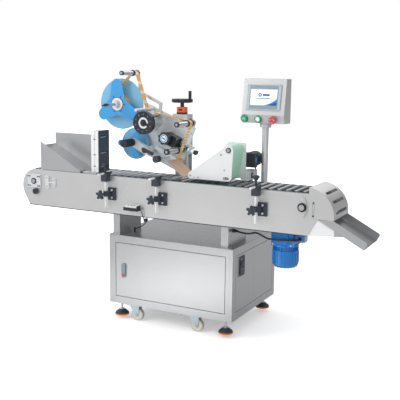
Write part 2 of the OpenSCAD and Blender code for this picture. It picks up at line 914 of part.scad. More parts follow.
module side_outline() {
    translate([-end_x, end_z]) circle(r = end_r);
    polygon([[-end_x, plate_top],
        [-end_x + end_r * cos(end_angle), end_z + end_r * sin(end_angle)],
        [-end_cut_x, plate_bot], [plate_x2, plate_bot], [nose_x, nose_z],
        [plate_x1, plate_top]]);
}

module side_plates() {
    color("lightgray") place() for (y = [plate_y, rear_in]) along_y(y, y + plate_t)
        difference() {
            side_outline();
            translate([drive_x, shaft_z]) circle(r = shaft_r + sheet_t);
            translate([-idler_x, shaft_z]) circle(r = idler_r + sheet_t);
        }
}

module chain_bed() {
    color("whitesmoke") place() {
        for (i = [0:bar_n - 1])
            bar_y([strip_x0 + (strip_x1 - strip_x0) * (i + 0.5) / bar_n, shaft_z], bar_r,
                front_in, rear_in);
        for (y = [front_in, chain_y2])
            translate([strip_x0, y, shaft_z + link_in_r - strip_t])
                cube([strip_x1 - strip_x0, chain_in + link_w, strip_t]);
        translate([motor_x - motor_plate_l / 2, front_in, motor_plate_z])
            cube([motor_plate_l, pinion_y - front_in - sheet_t, motor_plate_t]);
    }
}

module track_chains() {
    color("slategray") place() {
        for (y = [chain_y1, chain_y2]) along_y(y, y + link_w) belt_ring(side_loop, link_h);
        along_y(pinion_y, pinion_y + pinion_t)
            belt_ring([[motor_x, pinion_z, pinion_r], [drive_x, shaft_z, pinion_r]], chain_t,
                gap);
    }
}

module track_rollers() {
    color("silver") place() for (i = [0:roller_n - 1])
        bar_y(track_point(i * roller_step), roller_r, chain_y1 + link_w, chain_y2, $fn = 32);
}

module sprocket_pair() {
    for (y = [chain_y1, chain_y2]) along_y(y, y + link_w) children();
}

module drive_shaft() {
    color("silver") place() {
        bar_y([drive_x, shaft_z], shaft_r, hood_y0 - bearing_t - shaft_end,
            rear_out + bearing_t + shaft_end);
        sprocket_pair() translate([drive_x, shaft_z]) circle(r = link_in_r - gap);
        bar_y([drive_x, shaft_z], shaft_r + hub_len / 2, chain_y1 + link_w,
            chain_y1 + link_w + hub_len);
        bar_y([drive_x, shaft_z], pinion_r, pinion_y, pinion_y + pinion_t);
    }
}

module idler_shaft() {
    color("silver") place() {
        bar_y([-idler_x, shaft_z], idler_r, plate_y - bearing_t - shaft_end / 2,
            rear_out + bearing_t + shaft_end / 2);
        sprocket_pair() translate([-idler_x, shaft_z]) circle(r = link_in_r - gap);
        bar_y([-idler_x, shaft_z], idler_r + hub_len / 2, chain_y1 + link_w,
            chain_y1 + link_w + hub_len);
    }
}

module flange_outline() {
    flange_r = 26;
    bolt_r = 13;
    bolt_z = 41;
    difference() {
        loop_shape([[drive_x, shaft_z - bolt_z, bolt_r], [drive_x, shaft_z, flange_r],
            [drive_x, shaft_z + bolt_z, bolt_r], [drive_x, shaft_z, flange_r]]);
        translate([drive_x, shaft_z]) circle(r = shaft_r + play);
    }
}

module idler_outline() {
    carrier_w = 100;
    carrier_h = 80;
    difference() {
        translate([-idler_x - carrier_w / 2, shaft_z - carrier_h / 2])
            square([carrier_w, carrier_h]);
        translate([-idler_x, shaft_z]) circle(r = idler_r + play);
    }
}

module tensioner() {
    block = [26, 10, 76];
    stop = [18, 10, 50];
    screw = 4;
    near = 462;
    far = 408;
    translate([-near - block[0] / 2, plate_y - block[1], shaft_z - block[2] / 2]) cube(block);
    translate([-far - stop[0] / 2, plate_y - stop[1], shaft_z - stop[2] / 2]) cube(stop);
    translate([-near, plate_y - block[1] / 2, shaft_z]) rotate([0, 90, 0])
        cylinder(r = screw, h = near - far);
}

module shaft_bearings() {
    color("lightgray") place() {
        for (y = [plate_y - bearing_t, rear_out]) {
            along_y(y, y + bearing_t) flange_outline();
            along_y(y, y + bearing_t) idler_outline();
        }
        tensioner();
    }
}

module hood_side() {
    intersection() {
        translate([hood_x, hood_z]) circle(r = hood_r, $fn = 128);
        translate([hood_x0, nose_z]) square(2 * hood_r);
    }
}

module end_hood() {
    color("lightgray") place() {
        for (y = [hood_y0, rear_out]) along_y(y, y + hood_t) hood_side();
        difference() {
            along_y(hood_y0, hood_y1) difference() {
                hood_side();
                translate([hood_x, hood_z]) circle(r = hood_r - skin_t, $fn = 128);
            }
            for (a = slot_angles) translate([hood_x, hood_y0 + slot_edge, hood_z])
                rotate([0, -a, 0]) translate([hood_r - 2 * skin_t, 0, -slot_w / 2])
                cube([3 * skin_t, hood_y1 - hood_y0 - 2 * slot_edge, slot_w]);
        }
    }
}

module chute_wall_shape() {
    polygon([[0, 0], [chute_l, 0], [chute_l, chute_wall - lip_r], [chute_l - lip_r, chute_wall],
        [wall_start, chute_wall]]);
    translate([chute_l - lip_r, chute_wall - lip_r]) circle(r = lip_r);
}

module chute() {
    color("gainsboro") place() {
        translate([nose_x, 0, chute_foot]) rotate([0, chute_tilt, 0]) {
            for (y = [hood_y0, hood_y1 - skin_t]) along_y(y, y + skin_t) chute_wall_shape();
            translate([0, hood_y0, 0]) cube([chute_l, hood_y1 - hood_y0, skin_t]);
        }
        for (y = [front_in, rear_in - gusset_t]) along_y(y, y + gusset_t)
            polygon([[nose_x, gusset_z], [nose_x - gusset_lap, gusset_z],
                [plate_x2 - gusset_lap, plate_bot + gusset_t], [plate_x2, plate_bot + gusset_t],
                [gusset_x, gusset_z - tan(chute_tilt) * (gusset_x - nose_x)]]);
    }
}

module gear_motor() {
    color("royalblue") place() {
        translate([motor_x, motor_y, fan_z + fan_h / 2])
            cylinder(r = motor_r, h = gearbox_z + gearbox_h / 2 - fan_z - fan_h / 2);
        translate([motor_x, motor_y, fan_z]) rotate_extrude()
            polygon([[0, 0], [fan_r - hub_len, 0], [fan_r, hub_len], [fan_r, fan_h], [0, fan_h]]);
        translate([motor_x - gearbox_w / 2, motor_y - gearbox_w / 2, gearbox_z])
            cube([gearbox_w, gearbox_w, gearbox_h]);
        translate([motor_x + gearbox_w / 2, motor_y - term_l / 2, motor_plate_z - term_h])
            cube([term_l, term_l, term_h]);
        bar_y([motor_x, pinion_z], shaft_r, motor_y, pinion_y);
        bar_y([motor_x, pinion_z], pinion_r, pinion_y, pinion_y + pinion_t);
    }
}

module cables() {
    color("black") place() {
        tube(motor_route, motor_cable_r, 10);
        tube(sensor_route, sensor_cable_r, 8);
        translate(sensor_plug_at - sensor_plug / 2) cube(sensor_plug);
    }
}

module hopper_floor_line(t) {
    polygon([[-hop_x, plate_top + hop_h - hop_lip], [-hop_tip - hop_rest, gate_z],
        [-hop_tip - hop_rest - t, gate_z], [-hop_x, plate_top + hop_h - hop_lip - t]]);
}

module feed_hopper() {
    color("silver") place() {
        along_y(front_in, front_in + hop_t) union() {
            polygon([[-hop_x, plate_top - hop_lap], [-hop_tip, plate_top - hop_lap],
                [-hop_tip, gate_z], [-hop_x, plate_top + hop_h]]);
        }
        along_y(front_in + hop_t + gap, hop_y - hop_t - gap) hopper_floor_line(hop_floor_t);
        along_y(hop_y - hop_t, hop_y) polygon([[-hop_x, gate_z], [-hop_x2, gate_z],
            [-hop_x2, plate_top + hop_back_h], [-hop_x, plate_top + hop_back_h]]);
        translate([-hop_x, hop_y, gate_z])
            cube([gate_foot_l, rear_out - hop_y, hop_t]);
        translate([-hop_x, rear_in, plate_top]) cube([gate_foot_l, plate_t, gate_z - plate_top]);
        gate_column();
    }
}

module gate_column() {
    groove = 8;
    difference() {
        translate([-gate_x, gate_y, gate_z]) cube([gate_w, gate_d, gate_h]);
        translate([-gate_x + (gate_w - groove) / 2, gate_y - cut, gate_z - cut])
            cube([groove, groove / 2 + cut, gate_h + 2 * cut]);
    }
    translate([-gate_x - gate_foot_l, plate_y, plate_top])
        cube([gate_foot_l + gate_w, gate_y - plate_y - 2 * cut, gate_z - plate_top]);
    translate([-gate_x - gate_foot_l, plate_y, gate_z])
        cube([gate_foot_l + gate_w, gate_y - plate_y, hop_t]);
}

module gate_panel() {
    color("darkslategray") place() difference() {
        translate([-gate_x + gate_w, gate_y, gate_z + track_clear])
            cube([gate_t, gate_d, gate_h - track_clear]);
        for (s = gate_slot_shares)
            translate([-gate_x + gate_w + gate_t / 2, gate_y + (gate_d - gate_slot_l) / 2,
                gate_z + gate_h * s])
                cube([gate_t, gate_slot_l, gate_slot_h]);
    }
}

// Star with blunt tips
module star_shape(r, n) {
    polygon([for (i = [0:n - 1], p = [[r, -star_tip], [r, star_tip], [r * star_valley, 180 / n]])
        p[0] * [cos(360 * i / n + p[1]), sin(360 * i / n + p[1])]]);
}

module guide_bracket(x) {
    star_y = rod_y - boss_r - star_stem - star_t;
    difference() {
        union() {
            translate([x + rod_r + rod_wall, plate_y - bracket_t, bracket_z - bracket_h / 2])
                cube([bracket_w + boss_r - rod_r - rod_wall, bracket_t, bracket_h]);
            translate([x + rod_r + rod_wall, rod_y - boss_r / 2, bracket_z - boss_l / 2])
                cube([bracket_w / 2, plate_y - rod_y, boss_l]);
            translate([x, rod_y, bracket_z - boss_l / 2]) cylinder(r = boss_r, h = boss_l);
            bar_y([x, bracket_z], lever_r, star_y + star_t / 2, rod_y - rod_r - rod_wall);
            along_y(star_y, star_y + star_t) translate([x, bracket_z]) rotate(90)
                star_shape(star_r, star_n);
        }
        translate([x, rod_y, bracket_z - boss_l]) cylinder(r = rod_r + play, h = 2 * boss_l);
    }
}

module guide_brackets() {
    color("dimgray") place() for (x = guide_xs) guide_bracket(x);
}

module guide_post(x, has_knob) {
    translate([x, rod_y, rod_z]) cylinder(r = rod_r, h = rod_l);
    translate([x - block_w / 2, rod_y - block_w / 2, plate_top + block_seat])
        cube([block_w, block_w / 2 + plate_y + plate_t - rod_y, block_up - block_seat]);
    translate([x - block_w / 2, rod_y - block_w / 2, plate_top - block_low])
        cube([block_w, block_w / 2 + plate_y - rod_y - block_gap, block_low + block_up]);
    bar_y([x, plate_top + block_up - rod_r], rod_r, rod_y - block_w / 2 - tail_l,
        plate_y + plate_t + reach_l);
    if (has_knob > 0) translate([x, rod_y, 0]) {
        translate([0, 0, plate_top]) cylinder(r = rod_r, h = tee_z - plate_top);
        translate([-lever_l / 2, 0, tee_z]) rotate([0, 90, 0]) cylinder(r = tee_r, h = lever_l);
    }
}

module guide_posts() {
    color("darkslategray") place() for (i = [0:len(guide_xs) - 1])
        guide_post(guide_xs[i], knob_shares[i]);
}

module sensor_amplifier() {
    foot = 6;
    color("dimgray") place() {
        translate([amp_x, plate_y - amp_d, amp_z]) cube([amp_l, amp_d, amp_h * 0.62]);
        translate([amp_x + foot, plate_y - amp_d + foot, amp_z])
            cube([amp_l - 2 * foot, amp_d - foot, amp_h]);
    }
}

module support_posts() {
    color("silver") place() {
        translate([post_x, rear_out + post_block_w / 2, post_z])
            cylinder(r = post_r, h = post_h);
        translate([post_x - post_block_w / 2, rear_out, post_z])
            cube([post_block_w, post_block_w, post_block_h]);
        difference() {
            union() {
                translate([pole_x, pole_y, pole_z]) cylinder(r = pole_r, h = pole_top - pole_z);
                translate([pole_x, pole_y, pole_top - collar_h])
                    cylinder(r = collar_r, h = collar_h);
                translate([pole_x - pole_block_w / 2, rear_out, pole_z])
                    cube([pole_block_w, pole_y + pole_r + sheet_t - rear_out, pole_block_h]);
            }
            translate([pole_x, pole_y, pole_top - spigot_l])
                cylinder(r = spigot_r + play, h = spigot_l + cut);
        }
    }
}

module wrap_front_outline() {
    side = wrap_low_r + wrap_edge;
    loop_shape([[wrap_left_x + wrap_edge, wrap_low_z + wrap_edge / 2, side - wrap_edge / 2],
        [wrap_x, wrap_low_z + wrap_edge / 2, side - wrap_edge / 2],
        [wrap_x, wrap_z, wrap_r + wrap_edge]]);
}

module wrap_rear_outline() {
    r = 10;
    low = wrap_low_z - wrap_low_r + r;
    high = wrap_z + wrap_r;
    right = wrap_x + wrap_r + wrap_edge;
    loop_shape([[wrap_left_x, low, r], [right, low, r], [right, high, r],
        [wrap_x - 3 * wrap_r, high, r]]);
}

module wrap_holes() {
    for (c = wrap_loop) translate([c[0], c[1]]) circle(r = wrap_pin_r + play);
}

module wrap_frame() {
    span_x = wrap_x - wrap_left_x;
    span_z = wrap_z - wrap_low_z;
    post_yy = rear_out + post_block_w / 2;
    color("whitesmoke") place() {
        along_y(wrap_y, wrap_y + wrap_t) difference() {
            wrap_front_outline();
            wrap_holes();
        }
        along_y(wrap_back - wrap_t, wrap_back) difference() {
            wrap_rear_outline();
            wrap_holes();
        }
        for (s = wrap_spacers)
            bar_y([wrap_left_x + span_x * s[0], wrap_low_z + span_z * s[1]], wrap_spacer_r,
                wrap_y + wrap_t, wrap_back - wrap_t);
        difference() {
            translate([post_x - clamp_w / 2, wrap_back, clamp_z])
                cube([clamp_w, post_yy + post_r + clamp_back - wrap_back, clamp_h]);
            translate([post_x, post_yy, clamp_z - cut])
                cylinder(r = post_r + play, h = clamp_h + 2 * cut);
        }
    }
}

module wrap_belt() {
    color("mediumaquamarine") place()
        along_y(wrap_y + wrap_t + belt_t, wrap_back - wrap_t - belt_t)
        difference() {
            polygon(belt_points(wrap_loop, gap + belt_t));
            polygon(belt_points(wrap_loop, gap));
        }
}

module wrap_roller(i) {
    c = wrap_loop[i];
    color("silver") place() {
        bar_y(c, c[2], wrap_y + wrap_t + gap, wrap_back - wrap_t - gap);
        bar_y(c, wrap_pin_r, wrap_y - 2 * cut, wrap_back);
    }
}

module wrap_motor() {
    color("dimgray") place() {
        translate([wrap_motor_x - motor_square / 2, wrap_back, wrap_motor_z - motor_square / 2])
            cube([motor_square, motor_square_l, motor_square]);
        bar_y([wrap_motor_x, wrap_motor_z], wrap_motor_r, wrap_back + motor_square_l,
            wrap_back + motor_square_l + wrap_motor_l);
        translate([wrap_motor_x, wrap_back + motor_square_l + wrap_motor_l - 2 * motor_lead_r,
            wrap_motor_z - wrap_motor_r - motor_lead_l])
            cylinder(r = motor_lead_r, h = motor_lead_l + motor_lead_r);
    }
}

// Places children in the head plate's own frame, its lower left corner at the origin
module on_plate() {
    place() translate([head_x, 0, head_z]) rotate([0, head_tilt, 0]) children();
}

module head_outline() {
    reel = on_head(reel_shares);
    corner = on_head(corner_shares);
    square([head_l, head_h]);
    link_shape(reel, [head_l / 4, reel[1]], arm_w);
    link_shape(corner, [corner[0], head_h / 2], 2 * lug_r);
    translate(on_head(takeup_shares)) circle(r = lug_r + pin_r);
}

module head_holes() {
    for (s = [reel_shares, takeup_shares, clutch_shares, drive_shares, corner_shares])
        translate(on_head(s)) circle(r = pin_r + play);
    translate(on_head(dancer_pivot_shares)) circle(r = pin_r + play);
}

module head_plate() {
    box = on_head(box_shares);
    knob = on_head(knob_place_shares);
    guide = on_head(guide_shares);
    pivot = on_head(pinch_pivot_shares);
    low = on_head(low_knob_shares);
    top = on_head(peel_top_shares);
    tip = on_head(peel_tip_shares);
    sensor = on_head(sensor_shares);
    color("lightsteelblue") {
        on_plate() {
            along_y(head_y, head_y + head_t) difference() {
                head_outline();
                head_holes();
            }
            difference() {
                translate([box[0] - box_l / 2, box_y, box[1] - box_t / 2])
                    cube([box_l, head_y - box_y, box_t]);
                bar_y(knob, pin_r + play, box_y - cut, box_y + arm_w);
            }
            bar_y(guide, guide_bar_r, roller_y, head_y);
            bar_y(pivot, pin_r, pinch_arm_y - pin_r, head_y);
            bar_y(low, pin_r, roller_y + low_knob_l, head_y);
            bar_y(low, low_knob_r, roller_y, roller_y + low_knob_l);
            along_y(peel_arm_y, head_y) link_shape([head_l / 2, low[1] + peel_arm_w / 2],
                [top[0] - peel_arm_w / 2, top[1] - peel_arm_w / 2 - peel_t], peel_arm_w);
            along_y(head_y - 2 * head_t, head_y) link_shape([head_l - arm_w, sensor[1]], sensor,
                peel_arm_w / 2);
            bar_y(sensor, pin_r, web_y, head_y);
        }
        place() difference() {
            union() {
                translate([col_x - carriage_w / 2, head_y + head_t, carriage_z])
                    cube([carriage_w, col_front - reveal + col_d - head_y - head_t, carriage_h]);
            }
            for (x = [-rod_span, rod_span])
                translate([col_x + x, col_y, carriage_z - cut])
                    cylinder(r = guide_r + play, h = carriage_h + 2 * cut);
            translate([col_x, col_y, carriage_z - cut])
                cylinder(r = screw_r + gap, h = carriage_h + 2 * cut);
        }
    }
}

// Roller with collars each side of the web and a pin in the head plate
module web_roller(s, r) {
    p = on_head(s);
    on_plate() {
        bar_y(p, r, roller_y, head_y - gap);
        bar_y(p, pin_r, head_y - 2 * cut, head_y + pin_l);
        for (y = [web_y - collar_t - gap, web_y + web_w + gap])
            bar_y(p, r + collar_up, y, y + collar_t);
    }
}

module dancer_roller() {
    p = on_head(dancer_shares);
    color("dimgray") on_plate() {
        bar_y(p, dancer_r, roller_y, head_y - dancer_t - 2 * gap);
        bar_y(p, pin_r, head_y - dancer_t - 2 * cut, head_y + head_t);
        for (y = [web_y - collar_t - gap, web_y + web_w + gap])
            bar_y(p, dancer_r + collar_up, y, y + collar_t);
    }
}

module dancer_arm() {
    pivot = on_head(dancer_pivot_shares);
    knee = on_head(dancer_knee_shares);
    elbow = on_head(dancer_elbow_shares);
    p = on_head(dancer_shares);
    color("silver") on_plate() {
        difference() {
            along_y(head_y - dancer_t - gap, head_y - gap) union() {
                bar_shape(pivot, knee, dancer_w * arm_shares[0]);
                bar_shape(knee, elbow, dancer_w * arm_shares[1]);
                bar_shape(elbow, p, dancer_w * arm_shares[2]);
            }
            bar_y(p, pin_r + play, 0, head_y + head_t);
        }
        bar_y(pivot, pin_r, head_y - dancer_t, head_y + pin_l);
        bar_y(pivot, 2.5 * pin_r, head_y - 3 * dancer_t, head_y - dancer_t);
    }
}

module corner_roller() {
    color("lightgray") web_roller(corner_shares, corner_r);
}

module drive_roller() {
    color("gray") web_roller(drive_shares, drive_r);
}

module supply_reel() {
    c = on_head(reel_shares);
    color("deepskyblue") on_plate() {
        bar_y(c, reel_r, disc_y, disc_y + disc_t);
        bar_y(c, hub_r, lobe_y, disc_y);
        along_y(lobe_y - disc_t, lobe_y) translate(c) {
            circle(r = hub_r + disc_t);
            for (i = [0:lobe_n - 1]) rotate(lobe_turn + i * 360 / lobe_n)
                loop_shape([[0, 0, hub_r], [reel_r - lobe_tip_r, 0, lobe_tip_r]]);
        }
        bar_y(c, 2.5 * spindle_r, lobe_y - 4 * disc_t, lobe_y - disc_t);
        bar_y(c, spindle_r, spindle_y, head_y - gap);
        bar_y(c, pin_r, head_y - 2 * cut, head_y + pin_l);
        translate([c[0], spindle_y + spindle_r, c[1]]) rotate([0, lobe_turn / 2, 0])
            cylinder(r = spindle_r / 2, h = 5 * spindle_r, center = true);
    }
}

module takeup_reel() {
    c = on_head(takeup_shares);
    color("deepskyblue") on_plate() {
        bar_y(c, takeup_r, disc_y, disc_y + disc_t);
        bar_y(c, hub_r / 2, lobe_y, disc_y);
        along_y(lobe_y - disc_t, lobe_y) translate(c) {
            for (i = [0:lobe_n - 1]) rotate(takeup_turn + i * 360 / lobe_n)
                loop_shape([[0, 0, hub_r / 2], [takeup_r - lobe_tip_r / 2, 0, lobe_tip_r / 2]]);
        }
        bar_y(c, spindle_r, lobe_y - 2 * disc_t, head_y - gap);
        bar_y(c, pin_r, head_y - 2 * cut, head_y + pin_l);
    }
}

module clutch_wheel() {
    c = on_head(clutch_shares);
    ring_r = clutch_r * 0.52;
    color("dimgray") on_plate() difference() {
        union() {
            bar_y(c, clutch_r, drum_y - clutch_t, drum_y);
            bar_y(c, clutch_r * 0.72, drum_y, head_y - gap);
            bar_y(c, pin_r, head_y - 2 * cut, head_y + pin_l);
        }
        along_y(drum_y - clutch_t - cut, drum_y - clutch_t + collar_t) translate(c)
            difference() {
                circle(r = ring_r);
                circle(r = ring_r * 0.5);
            }
    }
}

module tension_knob() {
    c = on_head(knob_place_shares);
    color("dimgray") on_plate() {
        along_y(box_y - knob_t - 2 * collar_t, box_y - 2 * collar_t) translate(c)
            lobed_shape(knob_r, knob_n);
        bar_y(c, 2 * pin_r, box_y - 2 * collar_t, box_y - gap);
        bar_y(c, pin_r, box_y - collar_t, box_y + arm_w - cut);
    }
}

module pinch_arm() {
    pivot = on_head(pinch_pivot_shares);
    c = on_head(pinch_shares);
    color("silver") on_plate() difference() {
        union() {
            along_y(pinch_arm_y, pinch_arm_y + pinch_arm_t) link_shape(pivot, c, pinch_arm_w);
            bar_y(pivot, pinch_arm_w / 2, pinch_arm_y, head_y - gap);
        }
        bar_y(pivot, pin_r + play, 0, head_y);
        bar_y(c, pin_r + play, 0, head_y);
    }
}

module pinch_roller() {
    c = on_head(pinch_shares);
    color("dimgray") on_plate() {
        bar_y(c, pinch_r, pinch_y, pinch_y + pinch_l);
        bar_y(c, pin_r, pinch_y + pinch_l - cut, pinch_arm_y + pinch_arm_t);
    }
}

module peel_plate() {
    top = on_head(peel_top_shares);
    tip = on_head(peel_tip_shares);
    edge = tip - top;
    side = unit([-edge[1], edge[0]]) * peel_t;
    color("rosybrown") on_plate() {
        along_y(peel_arm_y - peel_w, peel_arm_y) polygon([top, top - side, tip - side / 2, tip]);
        along_y(peel_arm_y, head_y) polygon([top, top - side, top - side + edge / 4,
            top + edge / 4]);
    }
}

// Web from one to another of the circles that it runs over
module web_band(first, last) {
    over = [concat(on_head(peel_top_shares), [web_t]),
        concat(on_head(drive_shares), [drive_r]),
        concat(on_head(corner_shares), [corner_r]),
        concat(on_head(guide_shares), [-guide_bar_r - 2 * gap - web_t]),
        concat(on_head(dancer_shares), [dancer_r]),
        concat(on_head(reel_shares), [hub_r])];
    on_plate() along_y(web_y, web_y + web_w)
        polygon(concat(path_points(over, first, last, gap),
            backwards(path_points(over, first, last, gap + web_t))));
}

module label_web() {
    color("goldenrod") web_band(0, 3);
}

module web_lead() {
    color("goldenrod") web_band(3, 5);
}

module column_block(z, h) {
    translate([col_x - col_w / 2, rear_out, z])
        cube([col_w, col_front + col_d + reveal - rear_out + sheet_t, h]);
}

module head_column() {
    color("silver") place() difference() {
        union() {
            column_block(col_z, col_base_h);
            column_block(top_z, col_top_h);
            translate([col_x - col_w / 2, col_front + col_d + reveal, col_z])
                cube([col_w, col_back_t, col_h]);
            for (x = [-rod_span, rod_span]) translate([col_x + x, col_y, rail_z])
                cylinder(r = guide_r, h = top_z - rail_z);
            translate([col_x - count_w / 2, col_y - count_d / 2, count_z])
                cube([count_w, count_d, count_h]);
        }
        translate([col_x, col_y, rail_z - screw_r])
            cylinder(r = screw_r + play, h = col_h + count_h);
    }
}

module handwheel() {
    color("dimgray") place() translate([col_x, col_y, 0]) {
        translate([0, 0, rail_z - screw_r + cut]) cylinder(r = screw_r, h = hand_z - rail_z);
        translate([0, 0, count_z + count_h + gap])
            cylinder(r = neck_r, h = hand_z - count_z - count_h - gap);
        translate([0, 0, hand_z]) rotate_extrude()
            polygon([[0, 0], [hand_r - hand_t / 4, 0], [hand_r, hand_t / 4],
                [hand_r, hand_t], [hand_r - hand_t / 2, hand_t],
                [hand_r - hand_t, hand_t / 2], [2 * neck_r, hand_t / 2], [2 * neck_r, hand_t],
                [0, hand_t]]);
        translate([hand_r - grip_r - grip_in, 0, hand_z + hand_t / 2])
            cylinder(r = grip_r, h = grip_h + hand_t / 2);
    }
}

module box_profile(wall = 0) {
    polygon([[box_y0 + strip_in + wall, box_z + wall], [box_y0 + wall, box_z + strip_h],
        [box_y0 + face_in + wall, box_z + box_h - wall],
        [box_y0 + box_d - wall, box_z + box_h - wall],
        [box_y0 + box_d - wall, box_z + wall]]);
}

// Puts children on the button strip, +Z out of the strip
module on_strip(x) {
    translate([pole_x + x, box_y0 + strip_in / 2, box_z + strip_h / 2])
        rotate([90 + strip_tilt, 0, 0]) children();
}

// Puts children on the leaning face, +Z out of the face, with Y up the face
module on_face() {
    translate([pole_x, box_y0, box_z + strip_h]) rotate([90 - face_tilt, 0, 0]) children();
}

module control_box() {
    color("lightgray") place() difference() {
        union() {
            translate([pole_x - box_w / 2, 0, 0]) rotate([90, 0, 90]) linear_extrude(box_w)
                box_profile();
            translate([pole_x, pole_y, pole_top + gap]) cylinder(r = collar_r, h = flange_h);
            translate([pole_x, pole_y, pole_top - spigot_l + cut])
                cylinder(r = spigot_r, h = spigot_l + flange_h);
            for (x = button_places) on_strip(x) translate([0, 0, -bezel_up])
                cylinder(r = button_r + bezel_ring, h = 2 * bezel_up);
        }
        for (x = button_places) on_strip(x) translate([0, 0, -button_seat])
            cylinder(r = button_r + play, h = button_seat + bezel_up + cut);
        translate([pole_x - box_w / 2 + sheet_t, 0, 0]) rotate([90, 0, 90])
            linear_extrude(box_w - 2 * sheet_t) box_profile(sheet_t);
    }
}

module touch_screen() {
    color("slategray") place() on_face() difference() {
        translate([-bezel_w / 2, screen_up, 0]) cube([bezel_w, bezel_h, bezel_t]);
        translate([-bezel_w / 2 + bezel_w * screen_rim_shares[0],
            screen_up + bezel_h * screen_rim_shares[1], bezel_t - cut])
            cube([bezel_w * (1 - 2 * screen_rim_shares[0]),
                bezel_h * (1 - 2 * screen_rim_shares[1]), 2 * cut]);
    }
}

module push_button(x) {
    place() on_strip(x) translate([0, 0, button_travel + gap - button_seat])
        cylinder(r = button_r, h = button_seat + button_proud - button_travel - gap);
}

module start_button() {
    color("seagreen") push_button(button_places[0]);
}

module reset_button() {
    color("white") push_button(button_places[1]);
}

module stop_button() {
    color("crimson") {
        push_button(button_places[2]);
        place() on_strip(button_places[2]) translate([0, 0, bezel_up + button_travel + gap])
            cylinder(r = button_r + bezel_ring, h = button_proud);
    }
}

cabinet_frame();
cabinet_panels();
cabinet_door();
latch_handle();
latch_button();
levelling_feet();
foot_pads();
castor_fork(0);  // castor_fork_1
castor_fork(1);  // castor_fork_2
castor_fork(2);  // castor_fork_3
castor_fork(3);  // castor_fork_4
castor_wheel(0);  // castor_wheel_1
castor_wheel(1);  // castor_wheel_2
castor_wheel(2);  // castor_wheel_3
castor_wheel(3);  // castor_wheel_4
pedestals();
side_plates();
chain_bed();
track_chains();
track_rollers();
drive_shaft();
idler_shaft();
shaft_bearings();
end_hood();
chute();
gear_motor();
cables();
feed_hopper();
gate_panel();
guide_brackets();
guide_posts();
sensor_amplifier();
support_posts();
wrap_frame();
wrap_belt();
wrap_motor();
wrap_roller(2);  // wrap_top_roller
wrap_roller(0);  // wrap_left_roller
wrap_roller(1);  // wrap_right_roller
head_column();
head_plate();
handwheel();
supply_reel();
takeup_reel();
clutch_wheel();
tension_knob();
dancer_arm();
dancer_roller();
corner_roller();
drive_roller();
pinch_arm();
pinch_roller();
peel_plate();
label_web();
web_lead();
control_box();
touch_screen();
start_button();
reset_button();
stop_button();
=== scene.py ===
"""Looks of a round bottle labelling machine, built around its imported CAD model.

Sizes in the classes are millimetres in the frame of the machine's source: origin at the cabinet's
lower front left corner, X along the track, Y to the back. Pieces are set down in metres at the end.
"""

from __future__ import annotations

import logging
import math
from dataclasses import dataclass
from enum import Enum
from typing import Any, Iterable, Sequence

import bmesh
import bpy
from bpy.types import Material, Mesh, Node, NodeSocket, NodeTree, Object
from mathutils import Matrix, Vector


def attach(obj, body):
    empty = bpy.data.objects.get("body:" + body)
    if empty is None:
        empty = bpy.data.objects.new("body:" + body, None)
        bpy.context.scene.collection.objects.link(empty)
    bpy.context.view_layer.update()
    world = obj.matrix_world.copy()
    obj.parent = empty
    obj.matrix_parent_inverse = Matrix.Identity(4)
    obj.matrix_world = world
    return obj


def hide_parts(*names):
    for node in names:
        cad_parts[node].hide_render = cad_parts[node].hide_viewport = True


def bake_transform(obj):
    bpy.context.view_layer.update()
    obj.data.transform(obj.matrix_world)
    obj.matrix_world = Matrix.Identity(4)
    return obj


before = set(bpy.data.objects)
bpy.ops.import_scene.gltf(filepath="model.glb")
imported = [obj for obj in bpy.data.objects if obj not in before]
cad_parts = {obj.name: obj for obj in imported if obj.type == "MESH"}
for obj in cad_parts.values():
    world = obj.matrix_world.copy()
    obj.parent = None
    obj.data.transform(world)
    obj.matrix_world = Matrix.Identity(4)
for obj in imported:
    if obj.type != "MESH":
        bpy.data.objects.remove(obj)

log = logging.getLogger("labelling_machine")

ORIGIN = (434.564, 273.25, -102.0)
MM = 0.001
HEAD_CORNER = (5.0, 907.0)
HEAD_TILT = math.radians(22.0)
HEAD_COS, HEAD_SIN = math.cos(HEAD_TILT), math.sin(HEAD_TILT)
HEAD_SIZE = (354.0, 285.0)
SHARP_ANGLE = math.radians(32.0)
BUMP_STRENGTH = 0.5
BUMP_DISTANCE = 0.0002
BROAD_SCALE = 7.0
MARK_SCALE_SHARE = 0.12
MARK_LIMITS = (0.6, 0.78)
MARK_STRENGTH = 0.6
MARK_WEAR = 2.5
FINE_TONE, BROAD_TONE = 0.45, 0.55
ROUGH_MEAN, FINE_ROUGH, BROAD_ROUGH = 0.06, 0.07, 0.05
Triple = tuple[float, float, float]
Pair = tuple[float, float]
TO_FRONT: Triple = (0.0, -1.0, 0.0)
TO_BACK: Triple = (0.0, 1.0, 0.0)
TO_RIGHT: Triple = (1.0, 0.0, 0.0)
UPWARDS: Triple = (0.0, 0.0, 1.0)


def metres(p: Sequence[float]) -> Vector:
    """Place in metres in the shared frame of a place in millimetres in the source's frame."""
    return Vector([(p[i] - ORIGIN[i]) * MM for i in range(3)])


def on_head(u: float, y: float, v: float) -> Triple:
    """Place of a point given along and up the tilted head plate.

    Args:
        u: distance along the plate from its lower left corner.
        y: depth in the source's frame.
        v: distance up the plate.

    Returns:
        The place in the source's frame.
    """
    x = HEAD_CORNER[0] + u * HEAD_COS + v * HEAD_SIN
    return (x, y, HEAD_CORNER[1] - u * HEAD_SIN + v * HEAD_COS)


def share(a: float, b: float) -> Pair:
    """Distances along and up the head plate for shares of its length and height."""
    return (a * HEAD_SIZE[0], b * HEAD_SIZE[1])


